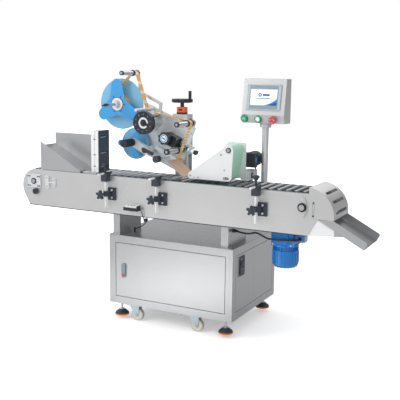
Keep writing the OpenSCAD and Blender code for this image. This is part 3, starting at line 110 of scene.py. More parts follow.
def linear(hex_colour: str) -> tuple[float, float, float, float]:
    """Linear colour of a hex colour as it shows on a screen."""
    parts = [int(hex_colour[i : i + 2], 16) / 255 for i in (1, 3, 5)]
    r, g, b = (p / 12.92 if p <= 0.04045 else ((p + 0.055) / 1.055) ** 2.4 for p in parts)
    return (r, g, b, 1.0)


class Value:
    """A shader socket that takes part in arithmetic."""

    def __init__(self, graph: Graph, socket: NodeSocket) -> None:
        """Keeps the graph that new nodes go to and the socket that holds this value."""
        self.graph = graph
        self.socket = socket

    def math(self, operation: str, *inputs: Number) -> Value:
        """Result of a Math node on the given inputs."""
        return self.graph.node("ShaderNodeMath", {"operation": operation}, dict(enumerate(inputs)))

    def __add__(self, other: Number) -> Value:
        """This value plus another."""
        return self.math("ADD", self, other)

    def __radd__(self, other: float) -> Value:
        """A number plus this value."""
        return self.math("ADD", other, self)

    def __sub__(self, other: Number) -> Value:
        """This value less another."""
        return self.math("SUBTRACT", self, other)

    def __rsub__(self, other: float) -> Value:
        """A number less this value."""
        return self.math("SUBTRACT", other, self)

    def __mul__(self, other: Number) -> Value:
        """This value times another."""
        return self.math("MULTIPLY", self, other)

    def __rmul__(self, other: float) -> Value:
        """A number times this value."""
        return self.math("MULTIPLY", other, self)

    def __truediv__(self, other: Number) -> Value:
        """This value divided by another."""
        return self.math("DIVIDE", self, other)

    def __lt__(self, other: Number) -> Value:
        """One where this value is less than another, and zero elsewhere."""
        return self.math("LESS_THAN", self, other)

    def __gt__(self, other: Number) -> Value:
        """One where this value is greater than another, and zero elsewhere."""
        return self.math("GREATER_THAN", self, other)

    def between(self, low: float | None, high: float | None) -> Number:
        """One between two limits, either of which may be left open."""
        inside: Number = 1.0
        if low is not None:
            inside = inside * (self > low)
        if high is not None:
            inside = inside * (self < high)
        return inside

    def ramp(self, low: float, high: float) -> Value:
        """Smooth step from zero at low to one at high."""
        return self.graph.node(
            "ShaderNodeMapRange",
            {"interpolation_type": "SMOOTHSTEP"},
            {"Value": self, "From Min": low, "From Max": high},
        )


Number = Value | float


class Graph:
    """The node tree of one material or world under construction."""

    def __init__(self, tree: NodeTree) -> None:
        """Empties the tree and keeps it."""
        self.tree = tree
        tree.nodes.clear()

    def node(
        self,
        kind: str,
        settings: dict[str, Any] | None = None,
        inputs: dict[Any, Any] | None = None,
        output: int | str = 0,
    ) -> Value:
        """Adds a node.

        Args:
            kind: the node's type.
            settings: its properties, set first.
            inputs: values or links of its sockets, by name or number.
            output: the socket to hand back.

        Returns:
            The chosen output.
        """
        made = self.tree.nodes.new(kind)
        for key, value in (settings or {}).items():
            setattr(made, key, value)
        for key, value in (inputs or {}).items():
            if isinstance(value, Value):
                self.tree.links.new(value.socket, made.inputs[key])
            else:
                made.inputs[key].default_value = value
        return Value(self, made.outputs[output] if made.outputs else made.inputs[0])

    def surface(self, inputs: dict[str, Any]) -> None:
        """Ends a material's tree with the shader that has these inputs."""
        shader = self.node("ShaderNodeBsdfPrincipled", {}, inputs)
        self.node("ShaderNodeOutputMaterial", {}, {"Surface": shader})

    def mix(self, factor: Number, a: Any, b: Any) -> Value:
        """Colour that goes from a to b."""
        return self.node("ShaderNodeMix", {"data_type": "RGBA"}, {0: factor, 6: a, 7: b}, output=2)

    def vector(self, operation: str, a: Any, b: Any) -> Value:
        """Result of a Vector Math node."""
        return self.node("ShaderNodeVectorMath", {"operation": operation}, {0: a, 1: b})

    def noise(self, place: Value, scale: float, detail: float = 3.0) -> Value:
        """Noise of a scale per metre at a place, about one half on average."""
        inputs = {"Vector": place, "Scale": scale, "Detail": detail}
        return self.node("ShaderNodeTexNoise", {}, inputs)


class Setting(Enum):
    """Frame in which a pattern and its zones are laid out."""

    MACHINE = "machine"
    HEAD = "head"


class Space:
    """Coordinates of the surface: a vector in metres, and X, Y, Z in millimetres."""

    def __init__(self, graph: Graph, setting: Setting = Setting.MACHINE) -> None:
        """Adds the nodes that read Object coordinates.

        Args:
            graph: the tree to add them to.
            setting: the machine's frame, or along, across and up the head plate.
        """
        self.graph = graph
        raw = graph.node("ShaderNodeTexCoord", output="Object")
        placed = graph.node(
            "ShaderNodeVectorMath",
            {"operation": "MULTIPLY_ADD"},
            {0: raw, 1: (1000.0, 1000.0, 1000.0), 2: ORIGIN},
        )
        x, y, z = (graph.node("ShaderNodeSeparateXYZ", {}, {0: placed}, output=i) for i in range(3))
        if setting is Setting.HEAD:
            across, up = x - HEAD_CORNER[0], z - HEAD_CORNER[1]
            x, z = across * HEAD_COS - up * HEAD_SIN, across * HEAD_SIN + up * HEAD_COS
            joined = graph.node("ShaderNodeCombineXYZ", {}, {0: x, 1: y, 2: z})
            raw = graph.vector("SCALE", joined, (0.0, 0.0, 0.0))
            raw.socket.node.inputs["Scale"].default_value = MM
        self.vector = raw
        self.axes = (x, y, z)


class Grain(Enum):
    """Stretch of a finish's fine pattern: long along one axis, or round a turned bar."""

    EVEN = (1.0, 1.0, 1.0)
    ALONG_X = (0.02, 1.0, 1.0)
    ALONG_Z = (1.0, 1.0, 0.02)
    TURNED_Y = (0.02, 1.0, 0.02)


@dataclass(frozen=True)
class Layer:
    """What one finish gives at every point of a surface."""

    colour: Value
    roughness: Value
    metallic: Number
    height: Value
    coat: Number
    alpha: Number

    def covered(self, graph: Graph, mask: Number, other: Layer) -> Layer:
        """This layer with another one where the mask is one."""

        def blend(a: Number, b: Number) -> Number:
            """Value that goes from a to b by the mask."""
            if not isinstance(a, Value) and not isinstance(b, Value) and a == b:
                return a
            return a + mask * (b - a)

        return Layer(
            graph.mix(mask, self.colour, other.colour),
            blend(self.roughness, other.roughness),
            blend(self.metallic, other.metallic),
            blend(self.height, other.height),
            blend(self.coat, other.coat),
            blend(self.alpha, other.alpha),
        )


@dataclass(frozen=True)
class Finish:
    """A surface finish: colour, gloss, the direction of its grain, relief and soiling."""

    name: str
    colour: str
    roughness: float = 0.4
    metallic: float = 0.0
    grain: Grain = Grain.EVEN
    fine: float = 900.0
    relief: float = 0.3
    variation: float = 0.05
    marks: float = 0.04
    coat: float = 0.0
    alpha: float = 1.0

    def layer(self, space: Space) -> Layer:
        """Adds this finish's pattern.

        Args:
            space: the coordinates that it reads.

        Returns:
            The layer, to be mixed with others or shown.
        """
        graph = space.graph
        stretched = graph.vector("MULTIPLY", space.vector, self.grain.value)
        fine = graph.noise(stretched, self.fine, 2.0)
        broad = graph.noise(space.vector, BROAD_SCALE, 4.0)
        marks = graph.noise(stretched, self.fine * MARK_SCALE_SHARE, 5.0).ramp(*MARK_LIMITS)
        base = linear(self.colour)
        low, high = (
            tuple(min(1.0, c * k) for c in base[:3]) + (1.0,)
            for k in (1 - self.variation, 1 + self.variation)
        )
        tone = graph.mix(fine * FINE_TONE + broad * BROAD_TONE, low, high)
        worn = tuple(min(1.0, c * (1 - MARK_WEAR * self.marks)) for c in base[:3]) + (1.0,)
        colour = graph.mix(marks * MARK_STRENGTH, tone, worn)
        rough = self.roughness - ROUGH_MEAN + fine * FINE_ROUGH + broad * BROAD_ROUGH
        rough = rough + marks * self.marks
        return Layer(colour, rough, self.metallic, fine * self.relief, self.coat, self.alpha)


class Across(Enum):
    """Axis of a round zone, with the two axes that it is measured in."""

    Y = (1, 0, 2)
    Z = (2, 0, 1)


@dataclass(frozen=True)
class Block:
    """Zone between two corners, with None for a side that is open."""

    low: tuple[float | None, float | None, float | None] = (None, None, None)
    high: tuple[float | None, float | None, float | None] = (None, None, None)

    def mask(self, space: Space) -> Number:
        """One inside the zone."""
        inside: Number = 1.0
        for axis, low, high in zip(space.axes, self.low, self.high):
            inside = inside * axis.between(low, high)
        return inside


@dataclass(frozen=True)
class Round:
    """Zone inside a bar, or a ring if it has an inner radius, between two ends."""

    axis: Across
    centre: Pair
    radius: float
    low: float | None = None
    high: float | None = None
    inner: float = 0.0

    def mask(self, space: Space) -> Number:
        """One inside the zone."""
        along, first, second = (space.axes[i] for i in self.axis.value)
        across, up = first - self.centre[0], second - self.centre[1]
        apart = (across * across + up * up).math("SQRT", across * across + up * up)
        inside = apart < self.radius
        if self.inner > 0:
            inside = inside * (apart > self.inner)
        return inside * along.between(self.low, self.high)


@dataclass(frozen=True)
class Slab:
    """Zone on both sides of a sloping plane that holds Y, between two depths."""

    start: Pair
    end: Pair
    half: float
    low: float
    high: float

    def mask(self, space: Space) -> Number:
        """One inside the zone."""
        run = Vector(self.end) - Vector(self.start)
        across = (space.axes[0] - self.start[0]) * (-run.y / run.length)
        apart = across + (space.axes[2] - self.start[1]) * (run.x / run.length)
        return apart.between(-self.half, self.half) * space.axes[1].between(self.low, self.high)


Zone = tuple[Block | Round | Slab, Finish]


def show(graph: Graph, layer: Layer) -> None:
    """Adds the shader that shows a layer."""
    bump = {"Strength": BUMP_STRENGTH, "Distance": BUMP_DISTANCE, "Height": layer.height}
    normal = graph.node("ShaderNodeBump", {}, bump)
    graph.surface(
        {
            "Base Color": layer.colour,
            "Roughness": layer.roughness,
            "Metallic": layer.metallic,
            "Coat Weight": layer.coat,
            "Alpha": layer.alpha,
            "Normal": normal,
        }
    )


def material(
    base: Finish,
    zones: Sequence[Zone] = (),
    setting: Setting = Setting.MACHINE,
    name: str = "",
) -> Material:
    """Material of a base finish with other finishes in zones.

    Args:
        base: the finish that covers what no zone does.
        zones: zones with their finishes, the later over the earlier.
        setting: the frame in which zones and grain are laid out.
        name: the material's name, or empty for the base finish's.

    Returns:
        The material, which is shared by all that ask for the same one.
    """
    name = name or f"{base.name}_{setting.value}"
    made = bpy.data.materials.get(name)
    if made is not None:
        return made
    made = bpy.data.materials.new(name)
    made.use_nodes = True
    graph = Graph(made.node_tree)
    space = Space(graph, setting)
    layer = base.layer(space)
    layers: dict[str, Layer] = {}
    for zone, finish in zones:
        if finish.name not in layers:
            layers[finish.name] = finish.layer(space)
        layer = layer.covered(graph, zone.mask(space), layers[finish.name])
    show(graph, layer)
    return made


def dress(node: str, base: Finish, *zones: Zone, setting: Setting = Setting.MACHINE) -> None:
    """Gives a CAD node its finish.

    Args:
        node: the node's name.
        base: the finish of most of it.
        zones: zones with other finishes.
        setting: the frame in which zones and grain are laid out.
    """
    made = material(base, zones, setting, name=node if zones else "")
    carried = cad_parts[node]
    for slot in carried.material_slots:
        slot.material = made
    log.info("dressed %s", node)


def plain(finish: Finish) -> Material:
    """Material of one finish alone."""
    return material(finish)


@dataclass(frozen=True)
class Ring:
    """Turned ring, or a disc if it has no hole, with a cut of a width and drop at its far edge."""

    hole: float
    radius: float
    thick: float
    cut: float = 0.0
    drop: float = 0.0

    def profile(self) -> list[Pair]:
        """Radius and height of the section's corners."""
        made = [(self.hole, 0.0), (self.radius, 0.0)]
        if self.drop < self.thick:
            made.append((self.radius, self.thick - self.drop))
        if self.cut > 0:
            made.append((self.radius - self.cut, self.thick))
        return made + [(self.hole, self.thick)]


@dataclass(frozen=True)
class Plate:
    """Rectangle with round corners between two heights, with both ends' edges cut."""

    low: Pair
    high: Pair
    corner: float
    foot: float
    top: float
    chamfer: float = 0.0


class Solid:
    """Closed shapes gathered into one mesh, in millimetres of the source's frame."""

    def __init__(self) -> None:
        """Starts with no shape."""
        self.mesh = bmesh.new()

    def _add(self, corners: Iterable[Vector], faces: Iterable[Sequence[int]]) -> None:
        """Adds corners, given in millimetres, and the faces between them."""
        made = [self.mesh.verts.new(metres(c)) for c in corners]
        for face in faces:
            self.mesh.faces.new([made[i] for i in face])

    def turned(self, profile: Sequence[Pair], place: Matrix, sides: int = 32) -> Solid:
        """Adds a turned shape.

        Args:
            profile: radius and height from one end to the other; radius zero closes an end, and a
                profile that doesn't start at the axis is a closed ring.
            place: takes the turning axis, local Z, to the source's frame.
            sides: number of flats.

        Returns:
            This solid.
        """
        rings: list[list[int]] = []
        corners: list[Vector] = []
        for radius, height in profile:
            count = 1 if radius == 0 else sides
            rings.append([len(corners) + k for k in range(count)])
            for k in range(count):
                a = 2 * math.pi * k / sides
                corners.append(place @ Vector((radius * math.cos(a), radius * math.sin(a), height)))
        faces: list[list[int]] = []
        pairs = list(zip(rings, rings[1:]))
        if profile[0][0] != 0 and profile[-1][0] != 0:
            pairs.append((rings[-1], rings[0]))
        for lower, upper in pairs:
            for k in range(sides):
                n = (k + 1) % sides
                if len(lower) == 1:
                    faces.append([lower[0], upper[n], upper[k]])
                elif len(upper) == 1:
                    faces.append([lower[k], lower[n], upper[0]])
                else:
                    faces.append([lower[k], lower[n], upper[n], upper[k]])
        self._add(corners, faces)
        return self

    def prism(
        self, outline: Sequence[Pair], low: float, high: float, place: Matrix, chamfer: float = 0.0
    ) -> Solid:
        """Adds an outline drawn out along local Z.

        Args:
            outline: corners in local X and Y.
            low: start of the shape.
            high: end of the shape.
            place: takes local places to the source's frame.
            chamfer: width cut from both ends' edges, towards the outline's middle.

        Returns:
            This solid.
        """
        n = len(outline)
        middle = Vector((sum(p[0] for p in outline) / n, sum(p[1] for p in outline) / n))
        levels = [(low, 0.0), (high, 0.0)]
        if chamfer > 0:
            levels = [(low, chamfer), (low + chamfer, 0.0), (high - chamfer, 0.0), (high, chamfer)]
        corners: list[Vector] = []
        for height, inset in levels:
            for p in outline:
                q = Vector(p)
                away = q - middle
                q = q - away.normalized() * min(inset, away.length)
                corners.append(place @ Vector((q.x, q.y, height)))
        faces = [list(range(n))[::-1], [len(corners) - n + k for k in range(n)]]
        for level in range(len(levels) - 1):
            for k in range(n):
                m = (k + 1) % n
                a = level * n
                faces.append([a + k, a + m, a + n + m, a + n + k])
        self._add(corners, faces)
        return self

    def rings(self, place: Matrix, *rings: Ring, sides: int = 32) -> Solid:
        """Adds rings that stand on the local plane."""
        for ring in rings:
            self.turned(ring.profile(), place, sides)
        return self

    def plates(self, place: Matrix, *plates: Plate) -> Solid:
        """Adds plates that lie along the local plane."""
        for p in plates:
            self.prism(rounded(*p.low, *p.high, p.corner), p.foot, p.top, place, p.chamfer)
        return self

    def rim(
        self, outer: Sequence[Pair], inner: Sequence[Pair], up: float, place: Matrix
    ) -> Solid:
        """Adds a flat rim of a given height between two outlines with equally many corners."""
        n = len(outer)
        rings = ((outer, 0.0), (outer, up), (inner, up), (inner, 0.0))
        corners = [place @ Vector((p[0], p[1], h)) for ring, h in rings for p in ring]
        faces = [
            [a * n + k, a * n + (k + 1) % n, b * n + (k + 1) % n, b * n + k]
            for a, b in ((0, 1), (1, 2), (2, 3), (3, 0))
            for k in range(n)
        ]
        self._add(corners, faces)
        return self

    def block(self, low: Triple, high: Triple, chamfer: float, corner: float = 0.0) -> Solid:
        """Adds a block between two corners, with its long edges along Y rounded by corner."""
        outline = rounded(low[0], low[2], high[0], high[2], max(corner, chamfer))
        return self.prism(outline, low[1], high[1], ALONG_DEPTH, chamfer)

    def sweep(self, path: Sequence[Vector], radius: Sequence[float], sides: int = 12) -> Solid:
        """Adds a round bar along a path.

        Args:
            path: points in the source's frame.
            radius: the bar's radius at each point.
            sides: number of flats.

        Returns:
            This solid.
        """
        corners: list[Vector] = []
        side = Vector((0.0, 0.0, 1.0))
        for i, p in enumerate(path):
            ahead = (path[min(i + 1, len(path) - 1)] - path[max(i - 1, 0)]).normalized()
            side = (side - ahead * side.dot(ahead)).normalized()
            other = ahead.cross(side)
            for k in range(sides):
                a = 2 * math.pi * k / sides
                corners.append(p + (side * math.cos(a) + other * math.sin(a)) * radius[i])
        faces = [list(range(sides))[::-1], [len(corners) - sides + k for k in range(sides)]]
        for i in range(len(path) - 1):
            for k in range(sides):
                n = (k + 1) % sides
                a = i * sides
                faces.append([a + k, a + n, a + sides + n, a + sides + k])
        self._add(corners, faces)
        return self

    def band(self, path: Sequence[Vector], half: float, low: float, high: float) -> Solid:
        """Adds a thin band on edge along a path on the head plate.

        Args:
            path: points along and up the plate.
            half: half the band's thickness.
            low: depth of its front edge.
            high: depth of its back edge.

        Returns:
            This solid.
        """
        corners: list[Vector] = []
        for i, p in enumerate(path):
            ahead = (path[min(i + 1, len(path) - 1)] - path[max(i - 1, 0)]).normalized()
            for side, y in ((-half, low), (half, low), (half, high), (-half, high)):
                corners.append(Vector(on_head(p.x - side * ahead.y, y, p.y + side * ahead.x)))
        faces = [(3, 2, 1, 0), tuple(len(corners) - 4 + k for k in range(4))]
        for a in range(0, len(corners) - 4, 4):
            faces += [(a + k, a + (k + 1) % 4, a + 4 + (k + 1) % 4, a + 4 + k) for k in range(4)]
        self._add(corners, faces)
        return self

    def piece(
        self, name: str, body: str, slot: str, finish: Finish | Material
    ) -> Object:
        """Ends the solid as a piece of the scene.

        Args:
            name: the piece's name.
            body: the body that it rides on, or empty for a piece that rides on none.
            slot: name of a material slot; not used.
            finish: its finish or its material.

        Returns:
            The object.
        """
        cover = plain(finish) if isinstance(finish, Finish) else finish
        bmesh.ops.recalc_face_normals(self.mesh, faces=self.mesh.faces)
        data = bpy.data.meshes.new(name)
        self.mesh.to_mesh(data)
        self.mesh.free()
        return set_down(data, name, body, cover)


def linked(name: str, data: Any) -> Object:
    """Object of that name and data, linked to the scene."""
    made = bpy.data.objects.new(name, data)
    bpy.context.scene.collection.objects.link(made)
    return made


def set_down(
    data: Mesh, name: str, body: str, finish: Material
) -> Object:
    """Puts a finished mesh in the scene, smooth but for its sharp edges, riding on a body."""
    data.shade_smooth()
    data.set_sharp_from_angle(angle=SHARP_ANGLE)
    if not data.materials:
        data.materials.append(finish)
    made = linked(name, data)
    if body:
        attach(made, body)
    log.info("made %s, %d faces", name, len(data.polygons))
    return made


def frame_at(origin: Sequence[float], across: Sequence[float], up: Sequence[float]) -> Matrix:
    """Matrix from local X along across, local Y along up and local Z out of both, at an origin."""
    x, y = Vector(across).normalized(), Vector(up).normalized()
    z = x.cross(y)
    rows = [[x[i], y[i], z[i], origin[i]] for i in range(3)]
    return Matrix(rows + [[0.0, 0.0, 0.0, 1.0]])


def facing_front(x: float, y: float, z: float) -> Matrix:
    """Frame on a surface that faces the front: local Z points out, towards -Y."""
    return frame_at((x, y, z), (1, 0, 0), (0, 0, 1))


def facing_back(x: float, y: float, z: float) -> Matrix:
    """Frame on a surface that faces the back."""
    return frame_at((x, y, z), (-1, 0, 0), (0, 0, 1))


def upright(x: float, y: float, z: float) -> Matrix:
    """Frame whose local Z points up."""
    return Matrix.Translation((x, y, z))


def facing_right(x: float, y: float, z: float) -> Matrix:
    """Frame on a surface that faces +X."""
    return frame_at((x, y, z), (0, 1, 0), (0, 0, 1))


def facing_head(u: float, y: float, v: float) -> Matrix:
    """Frame on the tilted head plate that faces the front, local X along it, local Y up it."""
    return frame_at(on_head(u, y, v), (HEAD_COS, 0.0, -HEAD_SIN), (HEAD_SIN, 0.0, HEAD_COS))


ALONG_DEPTH = Matrix([[1, 0, 0, 0], [0, 0, 1, 0], [0, 1, 0, 0], [0, 0, 0, 1]])


def rounded(x0: float, y0: float, x1: float, y1: float, r: float, steps: int = 5) -> list[Pair]:
    """Corners of a rectangle with round corners."""
    made: list[Pair] = []
    centres = ((x1 - r, y1 - r), (x0 + r, y1 - r), (x0 + r, y0 + r), (x1 - r, y0 + r))
    for quarter, (cx, cy) in enumerate(centres):
        for k in range(steps + 1):
            a = math.pi / 2 * (quarter + k / steps)
            made.append((cx + r * math.cos(a), cy + r * math.sin(a)))
    return made


class PatternTree:
    """A geometry node tree whose sizes are named inputs."""

    def __init__(self, name: str, inputs: Sequence[tuple[str, str]]) -> None:
        """Starts the tree.

        Args:
            name: the tree's name.
            inputs: name and socket type of each input besides the geometry.
        """
        self.tree = bpy.data.node_groups.new(name, "GeometryNodeTree")
        face = self.tree.interface
        face.new_socket("Geometry", in_out="INPUT", socket_type="NodeSocketGeometry")
        face.new_socket("Geometry", in_out="OUTPUT", socket_type="NodeSocketGeometry")
        self.names: dict[str, str] = {}
        for label, kind in (*inputs, ("Finish", "NodeSocketMaterial")):
            made = face.new_socket(label, in_out="INPUT", socket_type=kind)
            self.names[label] = made.identifier
        self.entry = self.tree.nodes.new("NodeGroupInput")
        self.exit = self.tree.nodes.new("NodeGroupOutput")

    def take(self, label: str) -> NodeSocket:
        """The group's input of that name."""
        return self.entry.outputs[label]

    def node(
        self,
        kind: str,
        settings: dict[str, Any] | None = None,
        inputs: dict[Any, Any] | None = None,
    ) -> Node:
        """Adds a node with its settings, then its sockets' values or links."""
        made = self.tree.nodes.new(kind)
        for key, value in (settings or {}).items():
            setattr(made, key, value)
        for key, value in (inputs or {}).items():
            for one in value if isinstance(value, list) else [value]:
                if isinstance(one, Node):
                    one = one.outputs[0]
                if isinstance(one, NodeSocket):
                    self.tree.links.new(one, made.inputs[key])
                else:
                    made.inputs[key].default_value = one
        return made

    def calc(self, operation: str, a: Any, b: Any) -> Node:
        """Adds a Math node on two values or links."""
        return self.node("ShaderNodeMath", {"operation": operation}, {0: a, 1: b})

    def combined(self, x: Any, y: Any, z: Any) -> Node:
        """Adds a vector of three values or links."""
        return self.node("ShaderNodeCombineXYZ", {}, {0: x, 1: y, 2: z})

    def attribute(self, name: str, kind: str) -> Node:
        """Adds a named attribute of a data type."""
        return self.node("GeometryNodeInputNamedAttribute", {"data_type": kind}, {"Name": name})

    def aligned(self, axis: str, vector: Any, pivot: str = "AUTO") -> Node:
        """Adds the rotation that turns an axis to a vector, about a pivot axis."""
        return self.node(
            "FunctionNodeAlignRotationToVector",
            {"axis": axis, "pivot_axis": pivot},
            {"Vector": vector},
        )

    def end(self, instances: Node) -> None:
        """Realises the instances, gives them the finish and ends the tree."""
        real = self.node("GeometryNodeRealizeInstances", {}, {"Geometry": instances})
        dressed = self.node(
            "GeometryNodeSetMaterial", {}, {"Geometry": real, "Material": self.take("Finish")}
        )
        self.tree.links.new(dressed.outputs[0], self.exit.inputs[0])

    def bake(self, base: Object, values: dict[str, Any]) -> Mesh:
        """Runs the tree on an object and turns the result into a plain mesh.

        Args:
            base: the object whose geometry goes in; it is removed.
            values: the inputs by name.

        Returns:
            The mesh.
        """
        modifier = base.modifiers.new("pattern", "NODES")
        modifier.node_group = self.tree
        for label, value in values.items():
            modifier[self.names[label]] = value
        graph = bpy.context.evaluated_depsgraph_get()
        graph.update()
        made = bpy.data.meshes.new_from_object(base.evaluated_get(graph), depsgraph=graph)
        base.modifiers.remove(modifier)
        bpy.data.objects.remove(base)
        made.materials.clear()
        made.materials.append(values["Finish"])
        made.polygons.foreach_set("material_index", [0] * len(made.polygons))
        return made


SCREW_PROFILE = ((0, 0), (1, 0), (1, 0.5), (0.86, 0.66), (0.52, 0.66), (0.46, 0.3), (0, 0.3))
SCREW_SIDES = 12
Screw = tuple[Triple, Triple, float]


class ScrewPattern:
    """Socket screws set on points, each turned to its facing and scaled to its radius."""

    def __init__(self) -> None:
        """Builds the head that is repeated and the tree that sets it."""
        head = bmesh.new()
        sides = SCREW_SIDES
        rings: list[list[bmesh.types.BMVert]] = []
        for r, h in SCREW_PROFILE:
            count = 1 if r == 0 else sides
            turn = [2 * math.pi * k / sides for k in range(count)]
            rings.append(
                [head.verts.new((r * MM * math.cos(a), r * MM * math.sin(a), h * MM)) for a in turn]
            )
        for a, b in zip(rings, rings[1:]):
            for k in range(sides):
                n = (k + 1) % sides
                ring = [a[k % len(a)], a[n % len(a)], b[n % len(b)], b[k % len(b)]]
                head.faces.new(list(dict.fromkeys(ring)))
        bmesh.ops.recalc_face_normals(head, faces=head.faces)
        data = bpy.data.meshes.new("screw_head")
        head.to_mesh(data)
        head.free()
        self.head = linked("screw_head_pattern", data)
        inputs = [("Head", "NodeSocketObject"), ("Size", "NodeSocketFloat")]
        tree = PatternTree("screws_on_points", inputs)
        info = tree.node("GeometryNodeObjectInfo", {}, {"Object": tree.take("Head")})
        turn = tree.aligned("Z", tree.attribute("facing", "FLOAT_VECTOR"))
        radius = tree.attribute("head_radius", "FLOAT")
        scale = tree.calc("MULTIPLY", radius, tree.take("Size"))
        points = tree.node("GeometryNodeMeshToPoints", {}, {"Mesh": tree.take("Geometry")})
        head = info.outputs["Geometry"]
        placing = {"Points": points, "Instance": head, "Rotation": turn, "Scale": scale}
        tree.end(tree.node("GeometryNodeInstanceOnPoints", {}, placing))
        self.tree = tree

    def set_screws(
        self, name: str, body: str, finish: Finish, places: Sequence[Screw]
    ) -> None:
        """Makes one piece of screws.

        Args:
            name: the piece's name.
            body: the body that it rides on.
            finish: the screws' finish.
            places: place in millimetres, facing and radius of each screw.
        """
        data = bpy.data.meshes.new(name + "_points")
        data.from_pydata([metres(p) for p, _, _ in places], [], [])
        facing = data.attributes.new("facing", "FLOAT_VECTOR", "POINT")
        facing.data.foreach_set("vector", [c for _, f, _ in places for c in f])
        radius = data.attributes.new("head_radius", "FLOAT", "POINT")
        radius.data.foreach_set("value", [r for _, _, r in places])
        base = linked(name + "_points", data)
        cover = plain(finish)
        made = self.tree.bake(base, {"Head": self.head, "Size": 1.0, "Finish": cover})
        set_down(made, name, body, cover)


EVEN, ALONG_X, ALONG_Z, TURNED_Y = Grain

STEEL = Finish("brushed_steel", "#c6c7c8", 0.33, 0.85, ALONG_X, 700, 0.5, 0.06)
STEEL_UP = Finish("brushed_steel_up", "#c2c3c4", 0.33, 0.85, ALONG_Z, 700, 0.5, 0.06)
# Darker steel that is painted shade: on the side plates' top edge, the chute's floor and the
# hopper's floor.
PAINTED_SHADE_STEEL = Finish("painted_shade_steel", "#8e9092", 0.36, 0.8, ALONG_X, 700, 0.5, 0.06)
PALE_METAL = Finish("pale_metal", "#dfe2e3", 0.36, 0.45, ALONG_Z, 600, 0.3, 0.04)
ROLLER_STEEL = Finish("track_roller_steel", "#9fa2a5", 0.3, 0.9, TURNED_Y, 1500, 0.5, 0.06)
LATCH_GREY = Finish("latch_grey", "#8a99a3", 0.36, 0.55, ALONG_Z, 500, 0.3, 0.06)
INLET_BLACK = Finish("inlet_black", "#27313c", 0.45, 0.0, EVEN, 900, 0.5, 0.12, 0.05)
POST_METAL = Finish("guide_post_metal", "#f6f7f8", 0.22, 0.15, ALONG_Z, 600, 0.06, 0.03)
PLATE_STEEL = Finish("track_plate_steel", "#d3d3d2", 0.4, 0.7, ALONG_X, 650, 0.4, 0.05)
PLAIN_STEEL = Finish("plain_steel", "#b9bcbf", 0.3, 0.85, EVEN, 500, 0.3, 0.06)
TURNED_STEEL = Finish("turned_steel", "#c9ccce", 0.24, 0.85, TURNED_Y, 1500, 0.5, 0.06)
TURNED_POST = Finish("turned_post", "#dfe1e2", 0.3, 0.7, ALONG_Z, 600, 0.04, 0.02, 0.01)
# Cabinet top under the track: glossier steel, with a darker colour that is painted shade and a
# painted reflection of the track's dark underside.
BENCH_SHADE_STEEL = Finish("bench_shade_steel", "#9c9e9f", 0.28, 0.8, ALONG_X, 700, 0.5, 0.06)
ZINC = Finish("zinc_plate", "#c5d2d8", 0.35, 0.7, EVEN, 260, 0.3, 0.08, 0.06)
HEAD_METAL = Finish("head_plate_metal", "#dde3e6", 0.36, 0.4, ALONG_X, 800, 0.4, 0.05)
ALUMINIUM = Finish("satin_aluminium", "#cdd1d3", 0.4, 0.55, ALONG_Z, 500, 0.3, 0.04)
CREAM = Finish("cream_paint", "#e3e5e5", 0.4, 0.0, EVEN, 420, 0.25, 0.02, 0.02, 0.15)
WHITE = Finish("white_paint", "#e9eaeb", 0.42, 0.0, EVEN, 420, 0.2, 0.015, 0.02, 0.1)
BOX_GREY = Finish("control_box_grey", "#c4c5c6", 0.4, 0.5, ALONG_X, 600, 0.35, 0.04)
BLACK = Finish("black_plastic", "#343a42", 0.42, 0.0, EVEN, 1200, 0.8, 0.12, 0.05)
SATIN_BLACK = Finish("satin_black", "#2a2f36", 0.34, 0.1, EVEN, 900, 0.4, 0.12, 0.05)
GATE_BLACK = Finish("gate_black", "#4a5159", 0.5, 0.1, EVEN, 700, 0.5, 0.1, 0.05)
RUBBER = Finish("black_rubber", "#24272b", 0.62, 0.0, TURNED_Y, 900, 0.9, 0.12, 0.05)
CABLE = Finish("cable_sheath", "#202428", 0.5, 0.0, EVEN, 1500, 0.4, 0.1, 0.04)
PAD_RUBBER = Finish("foot_rubber", "#d8783a", 0.6, 0.0, EVEN, 500, 0.7, 0.1, 0.06)
DOME = Finish("foot_dome", "#2f3840", 0.4, 0.0, EVEN, 900, 0.5, 0.1, 0.05)
WHEEL = Finish("wheel_nylon", "#dcdccd", 0.45, 0.0, EVEN, 400, 0.3, 0.04, 0.05)
TYRE = Finish("wheel_tread", "#c9c9bd", 0.55, 0.0, TURNED_Y, 700, 0.5, 0.05, 0.06)
MOTOR_BLUE = Finish("motor_blue", "#0c76c4", 0.24, 0.05, EVEN, 330, 0.6, 0.08, 0.05, 0.35)
MOTOR_PALE = Finish("motor_pale_blue", "#3f83d0", 0.35, 0.05, EVEN, 330, 0.5, 0.06, 0.05, 0.3)
BELT = Finish("green_belt", "#bdf2d8", 0.62, 0.0, EVEN, 1100, 0.9, 0.05, 0.05)
REEL_BLUE = Finish("blue_acrylic", "#84c8ec", 0.18, 0.0, EVEN, 60, 0.05, 0.05, 0.02, 0.4, 0.86)
LOBE_BLUE = Finish("blue_lobes", "#45a8e6", 0.2, 0.0, EVEN, 60, 0.05, 0.06, 0.02, 0.4, 0.88)
HUB_BLUE = Finish("blue_hub", "#1457b0", 0.3, 0.0, TURNED_Y, 500, 0.2, 0.06, 0.02, 0.3)
WEB = Finish("label_web", "#efb860", 0.4, 0.0, EVEN, 300, 0.15, 0.05, 0.03, 0.2)
LABEL = Finish("label_face", "#f3ead2", 0.35, 0.0, EVEN, 300, 0.15, 0.03, 0.02, 0.3)
PEEL = Finish("peel_paper", "#cdab92", 0.55, 0.0, ALONG_X, 260, 0.6, 0.12, 0.06)
ORANGE = Finish("orange_plastic", "#f0681e", 0.35, 0.0, EVEN, 800, 0.3, 0.05, 0.03, 0.2)
RED = Finish("red_button", "#d2454c", 0.32, 0.0, EVEN, 900, 0.2, 0.05, 0.02, 0.3)
GREEN = Finish("green_button", "#35a264", 0.3, 0.0, EVEN, 900, 0.2, 0.05, 0.02, 0.3)
